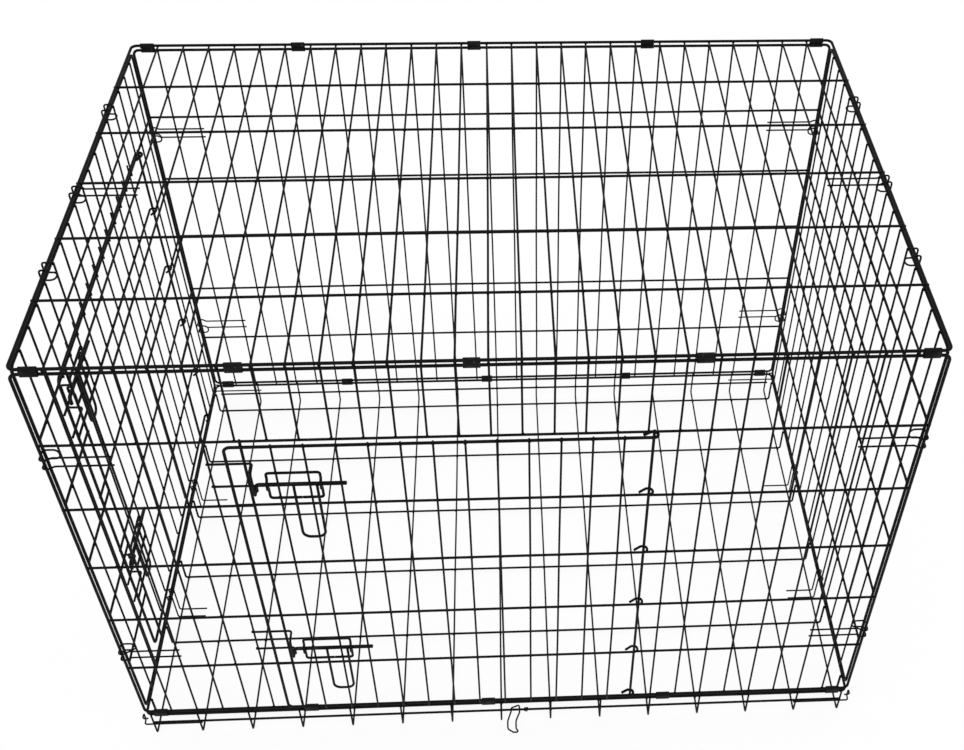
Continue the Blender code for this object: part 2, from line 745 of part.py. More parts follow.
def hooks(top, front, back, floor):
    """Hooks, rings and eyes at the two ends of the crate."""
    for end, sign in (("left", 1), ("right", -1)):
        corner_x = LEFT * sign
        for where, panel, out in (("front", front, -Y), ("back", back, Y)):
            corner = Vector((corner_x, -FRONT * out.y, 0))
            upright = Side(corner, X * sign, Z, out)
            for level, height in CORNER_HOOK_HEIGHTS.items():
                catch_hook(f"{where}_{end}_{level}_hook", upright, height, HOOK_LEG, END_MARGIN, panel)
            floor_eye(f"floor_{where}_{end}_eye", upright, floor)
        top_edge = Side(Vector((corner_x, FRONT, CRATE_HEIGHT)), X * sign, Y, Z)
        bays = round(CRATE_DEPTH / END_COLUMN_PITCH)
        pitch = CRATE_DEPTH / bays
        for where, bay in TOP_HOOK_BAYS.items():
            leg = HOOK_LEG if where == "middle" else HOOK_ROOT
            catch_hook(f"top_{end}_{where}_hook", top_edge, bay * pitch, leg, RAIL_PITCH, top)
        floor_edge = Side(Vector((corner_x, FRONT, 0)), X * sign, Y, Z)
        for where, bay in RING_BAYS.items():
            hinge_ring(f"floor_{end}_{where}_ring", floor_edge, bay * pitch, floor)


def build():
    """Model the crate."""
    top = top_panel()
    front = door_panel(
        "front_panel", FRONT_SIDE, CRATE_LENGTH, 0, COLUMN_PITCH, FRONT_LATCH_ROD, FRONT_HINGE
    )
    back = plain_panel("back_panel", BACK_SIDE, CRATE_LENGTH, 0, COLUMN_PITCH)
    floor = floor_basket()
    left_end = door_panel(
        "left_end_panel", LEFT_SIDE, CRATE_DEPTH, END_MARGIN, END_COLUMN_PITCH, END_LATCH_ROD, END_HINGE
    )
    plain_panel("right_end_panel", RIGHT_SIDE, CRATE_DEPTH, END_MARGIN, END_COLUMN_PITCH)
    front_door = door(
        "front_door", FRONT_SIDE, front, FRONT_LATCH_ROD, FRONT_HINGE,
        FRONT_FIRST_COLUMN, FRONT_LAST_COLUMN, COLUMN_PITCH,
    )
    end_door = door(
        "left_end_door", LEFT_SIDE, left_end, END_LATCH_ROD, END_HINGE,
        END_FIRST_COLUMN, END_LAST_COLUMN, END_COLUMN_PITCH,
    )
    for level, height in BOLT_HEIGHTS.items():
        slide_bolt(f"front_{level}_bolt", FRONT_SIDE, front_door, FRONT_LATCH_ROD, height)
        slide_bolt(f"end_{level}_bolt", LEFT_SIDE, end_door, END_LATCH_ROD, height)
    hinge_clips(top, floor)
    hooks(top, front, back, floor)
    pan_stop(floor)


for old in list(bpy.data.objects):
    bpy.data.objects.remove(old)
build()
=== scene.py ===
"""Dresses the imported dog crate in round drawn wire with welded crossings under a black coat.

Units are metres, in the frame of the CAD: +X along the crate, +Y to its back, +Z up, and the
ground at 0. A panel's places are given along it, up it and outward from its edge rod's plane.
"""

import logging
import math
from collections.abc import Sequence
from dataclasses import dataclass, field
from enum import Enum
from typing import Any, Optional, Union

import bmesh
import bpy
from mathutils import Matrix, Vector


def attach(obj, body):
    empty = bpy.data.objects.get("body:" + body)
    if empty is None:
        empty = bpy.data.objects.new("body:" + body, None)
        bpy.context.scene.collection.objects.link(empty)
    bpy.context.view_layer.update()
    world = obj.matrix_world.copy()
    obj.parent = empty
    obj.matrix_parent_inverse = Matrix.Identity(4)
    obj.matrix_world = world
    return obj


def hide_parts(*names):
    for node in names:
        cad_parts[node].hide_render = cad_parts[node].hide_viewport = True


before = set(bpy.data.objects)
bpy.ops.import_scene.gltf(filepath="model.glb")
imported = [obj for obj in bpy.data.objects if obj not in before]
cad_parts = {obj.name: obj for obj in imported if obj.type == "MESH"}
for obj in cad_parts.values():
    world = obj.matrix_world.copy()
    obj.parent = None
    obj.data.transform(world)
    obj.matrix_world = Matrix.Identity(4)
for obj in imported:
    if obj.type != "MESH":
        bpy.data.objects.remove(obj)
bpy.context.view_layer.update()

log = logging.getLogger("dog_crate")

Colour = tuple[float, float, float, float]
Corner = tuple[Vector, float]

X = Vector((1, 0, 0))
Y = Vector((0, 1, 0))
Z = Vector((0, 0, 1))
STILL = Vector((0, 0, 0))
WHITE = (1.0, 1.0, 1.0, 1.0)

BEND_STEP = math.radians(15)
LEAST_BEND_STEPS = 2
SWAY_STEP = 0.030
SAME_POINT = 0.00001
SHARP_ANGLE = math.radians(50)
MIDDLE_OF_NOISE = 0.5


class Gauge(Enum):
    """Wire sizes: the diameter and the flats round the drawn section."""

    ROD = (0.0041, 16)
    UPRIGHT = (0.0038, 14)
    ROW = (0.0035, 12)
    COLUMN = (0.00285, 10)
    BOLT = (0.0053, 24)
    HANDLE = (0.0036, 16)
    GUIDE = (0.0036, 12)
    KEEPER = (0.0032, 12)
    HOOK = (0.0025, 10)
    BINDING = (0.0019, 8)

    @property
    def radius(self) -> float:
        """Half the wire's diameter."""
        return self.value[0] / 2

    @property
    def flats(self) -> int:
        """Flats round the drawn section."""
        return self.value[1]


class Bead(Enum):
    """Weld beads: the half sizes along, up and outward on the side that they are on."""

    ON_ROW = (Gauge.COLUMN.radius * 1.45, Gauge.ROW.radius * 1.25, 0.0013)
    ON_ROD = (Gauge.COLUMN.radius * 1.45, Gauge.ROD.radius * 1.15, 0.0014)
    ROW_END = (Gauge.ROD.radius * 1.3, Gauge.ROW.radius * 1.3, Gauge.ROW.radius * 1.15)
    DOOR_ROW_END = (Gauge.ROD.radius * 1.2, Gauge.ROW.radius * 1.3, Gauge.ROW.radius * 1.15)
    UPRIGHT = (Gauge.UPRIGHT.radius * 1.3, Gauge.ROW.radius * 1.3, Gauge.UPRIGHT.radius * 1.15)
    KEEPER = (Gauge.UPRIGHT.radius * 1.4, Gauge.KEEPER.radius * 1.3, 0.0016)
    GUIDE = (Gauge.COLUMN.radius * 1.5, Gauge.GUIDE.radius * 1.25, 0.0014)
    HANDLE = (Gauge.HANDLE.radius * 1.35, Gauge.BOLT.radius * 0.95, 0.0017)
    HOOK = (Gauge.COLUMN.radius * 1.4, Gauge.HOOK.radius * 1.3, 0.0011)
    LIP = (Gauge.COLUMN.radius * 1.45, 0.0014, Gauge.ROD.radius * 1.15)
    LIP_END = (0.0016, Gauge.ROW.radius * 1.35, Gauge.ROD.radius * 1.2)


BEAD_SEGMENTS = 10
BEAD_RINGS = 6
BEAD_CHANCE = (0.86, 1.12)

# Overall sizes, between the centre lines of the edge rods
LENGTH = 1.0668
DEPTH = 0.7112
HEIGHT = 0.762
LIP_HEIGHT = 0.0481
MID_LIP = 0.0254
RAIL_PITCH = 0.0075
END_MARGIN = 0.0098
COLUMN_PITCH = 0.0381
END_COLUMN_PITCH = 0.0395
END_BAY = DEPTH / round(DEPTH / END_COLUMN_PITCH)
ROW_BAYS = 6
PANEL_FOOT = LIP_HEIGHT + RAIL_PITCH
PANEL_HEAD = HEIGHT - RAIL_PITCH
PANEL_ROW_PITCH = (PANEL_HEAD - PANEL_FOOT) / ROW_BAYS
CORNER_RADIUS = 0.008
BEND_RADIUS = 0.0035

# Layers outward from a panel's edge rod. Welded wires sink a little into each other.
SINK = 0.0004
PLAY = 0.0003
COLUMN_LAYER = SINK - Gauge.ROD.radius - Gauge.COLUMN.radius
COLUMN_FACE = COLUMN_LAYER + Gauge.COLUMN.radius
ROW_LAYER = COLUMN_FACE + Gauge.ROW.radius - SINK
KEEPER_LAYER = COLUMN_FACE + Gauge.KEEPER.radius - SINK
HOOK_LAYER = COLUMN_FACE + Gauge.HOOK.radius - SINK
HOOK_OVER_ROD = Gauge.ROD.radius + Gauge.HOOK.radius + PLAY / 2
DOOR_LAYER = 0.0048
DOOR_COLUMN_LAYER = DOOR_LAYER - COLUMN_LAYER + PLAY
DOOR_ROW_LAYER = DOOR_COLUMN_LAYER - Gauge.COLUMN.radius - Gauge.ROW.radius + SINK
DOOR_FACE = DOOR_COLUMN_LAYER + Gauge.COLUMN.radius
GUIDE_LAYER = DOOR_FACE + Gauge.GUIDE.radius - SINK
BOLT_LAYER = DOOR_FACE + PLAY + Gauge.BOLT.radius
ARCH_LAYER = BOLT_LAYER + Gauge.BOLT.radius + PLAY + Gauge.GUIDE.radius
HANDLE_LAYER = BOLT_LAYER + Gauge.BOLT.radius + Gauge.HANDLE.radius - SINK


@dataclass(frozen=True)
class Side:
    """A plane of the crate: its corner, the ways along and up in it, and the way outward."""

    corner: Vector
    along: Vector
    up: Vector
    out: Vector

    def at(self, s: float, t: float, n: float = 0.0) -> Vector:
        """Point at s along, t up and n outward from the corner."""
        return self.corner + self.along * s + self.up * t + self.out * n

    def spread(self, s: float, t: float, n: float) -> Vector:
        """Half sizes along the world's axes of something s along, t up and n outward."""
        reach = self.along * s + self.up * t + self.out * n
        return Vector((abs(reach.x), abs(reach.y), abs(reach.z)))

    def route(self, *places: tuple[float, ...]) -> list[Corner]:
        """Corners of a wire, each given along, up, outward and, where it bends, its radius."""
        return [(self.at(s, t, n), bend[0] if bend else 0.0) for s, t, n, *bend in places]

    def hoop(self, left: float, right: float, foot: float, head: float, n: float = 0.0) -> list[Corner]:
        """Corners of a closed rod n outward, from left to right and from foot to head."""
        places = ((left, foot), (right, foot), (right, head), (left, head))
        return [(self.at(s, t, n), CORNER_RADIUS) for s, t in places]


FRONT_SIDE = Side(Vector((-LENGTH / 2, -DEPTH / 2, 0)), X, Z, -Y)
BACK_SIDE = Side(Vector((-LENGTH / 2, DEPTH / 2, 0)), X, Z, Y)
LEFT_SIDE = Side(Vector((-LENGTH / 2, -DEPTH / 2, 0)), Y, Z, -X)
RIGHT_SIDE = Side(Vector((LENGTH / 2, -DEPTH / 2, 0)), Y, Z, X)
TOP_SIDE = Side(Vector((-LENGTH / 2, -DEPTH / 2, HEIGHT)), X, Y, Z)
FLOOR_SIDE = Side(Vector((-LENGTH / 2, -DEPTH / 2, 0)), X, Y, Z)
ENDS = (("left", 1), ("right", -1))
FACES = (("front", -Y), ("back", Y))


def upright_edge(sign: int, out: Vector) -> Side:
    """Edge of the front or back at an end, with its along leading inward over the face."""
    return Side(Vector((-LENGTH / 2 * sign, DEPTH / 2 * out.y, 0)), X * sign, Z, out)


def level_edge(sign: int, height: float) -> Side:
    """Edge of the top or floor at an end, with its up along the edge and its along inward."""
    return Side(Vector((-LENGTH / 2 * sign, -DEPTH / 2, height)), X * sign, Y, Z)


def hairpin(
    edge: Side, middle: float, spread: float, leg: Sequence[tuple[float, float, float]]
) -> list[Corner]:
    """Corners of a wire of two equal legs that are joined at their ends.

    Args:
        edge: The edge that it sits on.
        middle: Place of its middle along the edge.
        spread: Distance between its legs.
        leg: Corners of a leg from its free end: inward, outward and the bend's radius.

    Returns:
        The corners from one free end to the other.
    """
    first = [(inward, middle + spread / 2, out, bend) for inward, out, bend in leg]
    second = [(inward, middle - spread / 2, out, bend) for inward, out, bend in leg]
    return edge.route(*first, *reversed(second))


class Signal:
    """An output socket. Arithmetic on it adds Math nodes to its tree."""

    def __init__(self, bench: "Bench", socket: bpy.types.NodeSocket) -> None:
        """Hold a socket and the bench that made it."""
        self.bench = bench
        self.socket = socket

    def of(self, name: Union[str, int]) -> "Signal":
        """Another output of the same node."""
        return Signal(self.bench, self.socket.node.outputs[name])

    def _math(self, operation: str, first: Any, second: Any) -> "Signal":
        """Join two terms in a Math node."""
        return self.bench.node("ShaderNodeMath", {"operation": operation}, {0: first, 1: second})

    def __add__(self, other: Any) -> "Signal":
        """Sum with a signal or number."""
        return self._math("ADD", self, other)

    def __radd__(self, other: Any) -> "Signal":
        """Sum with a number on the left."""
        return self._math("ADD", other, self)

    def __sub__(self, other: Any) -> "Signal":
        """Difference from a signal or number."""
        return self._math("SUBTRACT", self, other)

    def __rsub__(self, other: Any) -> "Signal":
        """Difference of a number on the left."""
        return self._math("SUBTRACT", other, self)

    def __mul__(self, other: Any) -> "Signal":
        """Product with a signal or number."""
        return self._math("MULTIPLY", self, other)

    def __rmul__(self, other: Any) -> "Signal":
        """Product with a number on the left."""
        return self._math("MULTIPLY", other, self)

    def above(self, floor: float, width: float) -> "Signal":
        """Soft step from 0 at the floor to 1 at a width over it."""
        return self.bench.node("ShaderNodeClamp", None, {"Value": (self - floor) * (1 / width)})


class Bench:
    """Adds nodes to one tree."""

    def __init__(self, tree: bpy.types.NodeTree) -> None:
        """Work on the given tree."""
        self.tree = tree

    def node(
        self,
        kind: str,
        settings: Optional[dict[str, Any]] = None,
        sockets: Optional[dict[Union[str, int], Any]] = None,
        output: Union[str, int] = 0,
    ) -> Signal:
        """Add a node.

        Args:
            kind: The node's type.
            settings: Its properties, set before its sockets.
            sockets: Values or signals for its inputs, by name or number.
            output: The output to return.

        Returns:
            The chosen output, or the node's first input where it has no output.
        """
        made = self.tree.nodes.new(kind)
        for name, value in (settings or {}).items():
            setattr(made, name, value)
        for key, value in (sockets or {}).items():
            if isinstance(value, Signal):
                self.tree.links.new(value.socket, made.inputs[key])
            else:
                made.inputs[key].default_value = value
        ends = made.outputs if made.outputs else made.inputs
        return Signal(self, ends[output])

    def named(self, name: str, data_type: str) -> Signal:
        """Read an attribute."""
        return self.node("GeometryNodeInputNamedAttribute", {"data_type": data_type}, {"Name": name})

    def scaled(self, vector: Signal, factor: Signal) -> Signal:
        """Scale a vector."""
        return self.node("ShaderNodeVectorMath", {"operation": "SCALE"}, {0: vector, "Scale": factor})


def geometry_tree(name: str, inputs: dict[str, str]) -> tuple[Bench, Signal]:
    """Start a Geometry Nodes tree.

    Args:
        name: The tree's name.
        inputs: The type of each named input.

    Returns:
        A bench on the new tree, and its inputs.
    """
    tree = bpy.data.node_groups.new(name, "GeometryNodeTree")
    for label, kind in inputs.items():
        tree.interface.new_socket(label, in_out="INPUT", socket_type="NodeSocket" + kind)
    tree.interface.new_socket("Result", in_out="OUTPUT", socket_type="NodeSocketGeometry")
    bench = Bench(tree)
    return bench, bench.node("NodeGroupInput")


def close_tree(bench: Bench, geometry: Signal, coat: Signal) -> bpy.types.NodeTree:
    """End a Geometry Nodes tree in smooth, real and coated geometry.

    Args:
        bench: The bench on the tree.
        geometry: What the tree has made.
        coat: The material's input.

    Returns:
        The finished tree.
    """
    smooth = bench.node("GeometryNodeSetShadeSmooth", None, {"Geometry": geometry})
    solid = bench.node("GeometryNodeRealizeInstances", None, {"Geometry": smooth})
    coated = bench.node("GeometryNodeSetMaterial", None, {"Geometry": solid, "Material": coat})
    bench.node("NodeGroupOutput", None, {0: coated})
    return bench.tree


def wire_bank_tree(wave: float = 3.2, apart: float = 3.7, swing: float = 4.0) -> bpy.types.NodeTree:
    """Tree that repeats one bent wire at a pitch and gives it its round section.

    Args:
        wave: Waves of the wires' sway in a metre.
        apart: Distance in the noise between neighbouring wires.
        swing: Brings the noise to plus or minus 1.

    Returns:
        The tree.
    """
    inputs = {
        "Path": "Geometry", "Count": "Int", "Step": "Vector", "Sway": "Float", "Sway Way": "Vector",
        "Flats": "Int", "Seed": "Float", "Coat": "Material",
    }
    bench, given = geometry_tree("wire_bank", inputs)
    line = bench.node(
        "GeometryNodeMeshLine", {"mode": "OFFSET"}, {"Count": given.of("Count"), "Offset": given.of("Step")}
    )
    placed = bench.node(
        "GeometryNodeInstanceOnPoints", None, {"Points": line, "Instance": given.of("Path")}
    )
    numbered = bench.node(
        "GeometryNodeStoreNamedAttribute",
        {"data_type": "INT", "domain": "INSTANCE"},
        {"Geometry": placed, "Name": "number", "Value": bench.node("GeometryNodeInputIndex")},
    )
    loose = bench.node("GeometryNodeRealizeInstances", None, {"Geometry": numbered})
    noise = bench.node(
        "ShaderNodeTexNoise",
        {"noise_dimensions": "4D"},
        {
            "Vector": bench.node("GeometryNodeInputPosition"),
            "W": given.of("Seed") + bench.named("number", "INT") * apart,
            "Scale": wave,
            "Detail": 0.0,
        },
    )
    sway = (noise - MIDDLE_OF_NOISE) * swing * given.of("Sway")
    offset = bench.scaled(given.of("Sway Way"), sway)
    swayed = bench.node("GeometryNodeSetPosition", None, {"Geometry": loose, "Offset": offset})
    curve = bench.node("GeometryNodeMeshToCurve", None, {"Mesh": swayed})
    section = bench.node(
        "GeometryNodeCurvePrimitiveCircle", None, {"Resolution": given.of("Flats"), "Radius": 1.0}
    )
    gauge = bench.named("gauge", "FLOAT")
    drawn = {"Curve": curve, "Profile Curve": section, "Scale": gauge, "Fill Caps": True}
    return close_tree(bench, bench.node("GeometryNodeCurveToMesh", None, drawn), given.of("Coat"))


def set_on_points_tree() -> bpy.types.NodeTree:
    """Tree that sets a copy of one shape on every point, turned and spread as the point says.

    Returns:
        The tree.
    """
    inputs = {
        "Points": "Geometry", "Shape": "Object", "Least": "Float", "Most": "Float",
        "Seed": "Int", "Coat": "Material",
    }
    bench, given = geometry_tree("set_on_points", inputs)
    shape = bench.node("GeometryNodeObjectInfo", None, {"Object": given.of("Shape")}, "Geometry")
    turn = bench.node(
        "FunctionNodeEulerToRotation", None, {"Euler": bench.named("turn", "FLOAT_VECTOR")}
    )
    chance = bench.node(
        "FunctionNodeRandomValue",
        {"data_type": "FLOAT"},
        {2: given.of("Least"), 3: given.of("Most"), "Seed": given.of("Seed")},
        1,
    )
    size = bench.scaled(bench.named("spread", "FLOAT_VECTOR"), chance)
    sockets = {"Points": given.of("Points"), "Instance": shape, "Rotation": turn, "Scale": size}
    placed = bench.node("GeometryNodeInstanceOnPoints", None, sockets)
    return close_tree(bench, placed, given.of("Coat"))


@dataclass(frozen=True)
class Grain:
    """Noise on a surface: its scale in a metre and its detail."""

    scale: float
    detail: float

    def at(self, bench: Bench, place: Signal) -> Signal:
        """The noise at a place."""
        sockets = {"Vector": place, "Scale": self.scale, "Detail": self.detail}
        return bench.node("ShaderNodeTexNoise", None, sockets)


@dataclass(frozen=True)
class Finish:
    """Black coat on steel: a mottled colour, dust, an orange-peel skin, and wear to the steel."""

    name: str
    slot: str
    deep: Colour
    dusty: Colour
    roughness: float
    mottle: float
    peel: float
    wear: float
    steel: Colour = (0.30, 0.30, 0.31, 1.0)
    broad_grain: Grain = Grain(42.0, 3.0)
    skin_grain: Grain = Grain(1100.0, 1.0)
    scuff_grain: Grain = Grain(260.0, 2.0)
    dust_floor: float = 0.42
    dust_width: float = 0.30
    wear_floor: float = 0.60
    wear_width: float = 0.08
    scuff_share: float = 0.7
    skin_height: float = 0.7
    scuff_height: float = 0.6
    bump_strength: float = 0.5
    sheen_of_surface: float = 0.05

    def material(self) -> bpy.types.Material:
        """Build the material.

        Returns:
            The material, made once for each finish.
        """
        known = bpy.data.materials.get(self.name)
        if known:
            return known
        made = bpy.data.materials.new(self.name)
        made.use_nodes = True
        made.node_tree.nodes.clear()
        bench = Bench(made.node_tree)
        place = bench.node("ShaderNodeTexCoord", None, None, "Object")
        broad = self.broad_grain.at(bench, place)
        skin = self.skin_grain.at(bench, place)
        scuff = self.scuff_grain.at(bench, place)
        dust = broad.above(self.dust_floor, self.dust_width)
        rub = scuff * self.scuff_share + broad * (1 - self.scuff_share)
        worn = rub.above(self.wear_floor, self.wear_width) * self.wear
        colour = self._blend(bench, worn, self._blend(bench, dust, self.deep, self.dusty), self.steel)
        patchy = (broad - MIDDLE_OF_NOISE) * self.mottle
        rough = self.roughness + patchy + (scuff - MIDDLE_OF_NOISE) * (self.mottle / 2)
        relief = skin * self.skin_height + scuff * self.scuff_height
        bump = bench.node(
            "ShaderNodeBump",
            None,
            {"Strength": self.bump_strength, "Distance": self.peel, "Height": relief},
        )
        shader = bench.node(
            "ShaderNodeBsdfPrincipled",
            None,
            {
                "Base Color": colour,
                "Roughness": rough,
                "Metallic": worn,
                "Normal": bump,
                "Specular IOR Level": self.sheen_of_surface,
            },
        )
        bench.node("ShaderNodeOutputMaterial", None, {"Surface": shader})
        return made

    def _blend(self, bench: Bench, share: Signal, low: Any, high: Any) -> Signal:
        """Mix two colours by a share."""
        sockets = {"Factor": share, 6: low, 7: high}
        return bench.node("ShaderNodeMix", {"data_type": "RGBA"}, sockets, 2)


WIRE_COAT = Finish(
    name="wire_black_coat",
    slot="wire_coat",
    deep=(0.0035, 0.0035, 0.0038, 1),
    dusty=(0.0075, 0.0075, 0.0078, 1),
    roughness=0.46,
    mottle=0.16,
    peel=0.00006,
    wear=0.0,
)
HOOK_COAT = Finish(
    name="hook_black_coat",
    slot="hook_coat",
    deep=(0.0038, 0.0038, 0.0040, 1),
    dusty=(0.0085, 0.0085, 0.0088, 1),
    roughness=0.50,
    mottle=0.16,
    peel=0.00005,
    wear=0.05,
)
CLIP_COAT = Finish(
    name="clip_black_coat",
    slot="clip_coat",
    deep=(0.0045, 0.0045, 0.0048, 1),
    dusty=(0.0105, 0.0105, 0.0110, 1),
    roughness=0.42,
    mottle=0.20,
    peel=0.00004,
    wear=0.12,
)
BOLT_COAT = Finish(
    name="bolt_black_coat",
    slot="bolt_coat",
    deep=(0.0035, 0.0035, 0.0038, 1),
    dusty=(0.0085, 0.0085, 0.0088, 1),
    roughness=0.40,
    mottle=0.18,
    peel=0.00005,
    wear=0.10,
)


def bent(corners: Sequence[Corner], closed: bool = False) -> list[Vector]:
    """Turn corners into a path whose bends are arcs.

    Args:
        corners: Points, each with the radius of its bend.
        closed: Whether the last point joins the first.

    Returns:
        The path's points.
    """
    path: list[Vector] = []
    last = len(corners) - 1
    for i, (point, radius) in enumerate(corners):
        if radius == 0 or (not closed and i in (0, last)):
            path.append(point)
            continue
        before = (corners[i - 1][0] - point).normalized()
        after = (corners[(i + 1) % len(corners)][0] - point).normalized()
        turn = math.pi - before.angle(after)
        start = point + before * radius * math.tan(turn / 2)
        centre = point + (before + after).normalized() * (radius / math.cos(turn / 2))
        axis = after.cross(before)
        steps = max(LEAST_BEND_STEPS, math.ceil(turn / BEND_STEP))
        for k in range(steps + 1):
            swing = Matrix.Rotation(turn * k / steps, 3, axis)
            path.append(centre + swing @ (start - centre))
    return [p for i, p in enumerate(path) if i == 0 or (p - path[i - 1]).length > SAME_POINT]


def cut_wire(
    corners: Sequence[Corner], gauge: Gauge, closed: bool = False, sheared: float = 0.7
) -> list[tuple[Vector, float]]:
    """Path of a wire with its radius at each point. Its cut ends are a little rounded.

    Args:
        corners: Points, each with the radius of its bend.
        gauge: The wire's size.
        closed: Whether the wire is a closed loop.
        sheared: Radius of a cut end, as a share of the wire's.

    Returns:
        Points and radii.
    """
    path = bent(corners, closed)
    dense: list[Vector] = []
    count = len(path)
    for i in range(count if closed else count - 1):
        leg = path[(i + 1) % count] - path[i]
        parts = max(1, round(leg.length / SWAY_STEP))
        dense.extend(path[i] + leg * (k / parts) for k in range(parts))
    if closed:
        return [(point, gauge.radius) for point in dense]
    dense.append(path[-1])
    edge = gauge.radius * (1 - sheared)
    first = dense[0] + (dense[1] - dense[0]).normalized() * edge
    final = dense[-1] + (dense[-2] - dense[-1]).normalized() * edge
    full = [(point, gauge.radius) for point in (first, *dense[1:-1], final)]
    return [(dense[0], gauge.radius * sheared), *full, (dense[-1], gauge.radius * sheared)]


def run_tree(
    tree: bpy.types.NodeTree, mesh: bpy.types.Mesh, inputs: dict[str, Any]
) -> bpy.types.Mesh:
    """Run a Geometry Nodes tree on a mesh.

    Args:
        tree: The tree.
        mesh: What the tree starts from, which is used up.
        inputs: Values of the tree's named inputs.

    Returns:
        The result as a plain mesh.
    """
    carrier = bpy.data.objects.new("carrier", mesh)
    bpy.context.scene.collection.objects.link(carrier)
    modifier = carrier.modifiers.new(tree.name, "NODES")
    modifier.node_group = tree
    for item in tree.interface.items_tree:
        if item.in_out == "INPUT" and item.name in inputs:
            modifier[item.identifier] = inputs[item.name]
    evaluated = carrier.evaluated_get(bpy.context.evaluated_depsgraph_get())
    result = bpy.data.meshes.new_from_object(evaluated)
    carrier.modifiers.clear()
    bpy.data.objects.remove(carrier)
    bpy.data.meshes.remove(mesh)
    return result


@dataclass
class Shop:
    """The trees and shapes that every sub-assembly is made with."""

    wire_bank: bpy.types.NodeTree
    set_on_points: bpy.types.NodeTree
    bead: bpy.types.Object

    @classmethod
    def open(cls) -> "Shop":
        """Build the trees and the weld bead."""
        return cls(wire_bank_tree(), set_on_points_tree(), cls.shape("weld_bead", cls.ball()))

    @staticmethod
    def ball() -> bmesh.types.BMesh:
        """Make the bead's unit ball point by point, which gives it the same order in every run.

        Returns:
            Its mesh, with a pole in place of the first and the last ring.
        """
        made = bmesh.new()
        rings = []
        for ring in range(BEAD_RINGS + 1):
            height = math.cos(math.pi * ring / BEAD_RINGS)
            if ring in (0, BEAD_RINGS):
                rings.append([made.verts.new((0, 0, height))] * BEAD_SEGMENTS)
                continue
            reach = math.sin(math.pi * ring / BEAD_RINGS)
            turns = [2 * math.pi * k / BEAD_SEGMENTS for k in range(BEAD_SEGMENTS)]
            rings.append([made.verts.new((reach * math.sin(a), reach * math.cos(a), height)) for a in turns])
        for over, under in zip(rings, rings[1:]):
            for k in range(BEAD_SEGMENTS):
                beside = (k + 1) % BEAD_SEGMENTS
                corners = (over[k], over[beside], under[beside], under[k])
                made.faces.new(list(dict.fromkeys(corners)))
        return made

    @staticmethod
    def shape(name: str, source: bmesh.types.BMesh) -> bpy.types.Object:
        """Make an object of a bmesh.

        Args:
            name: The object's name.
            source: Its mesh, which is used up.

        Returns:
            The object, which no collection holds yet.
        """
        mesh = bpy.data.meshes.new(name)
        source.to_mesh(mesh)
        source.free()
        return bpy.data.objects.new(name, mesh)


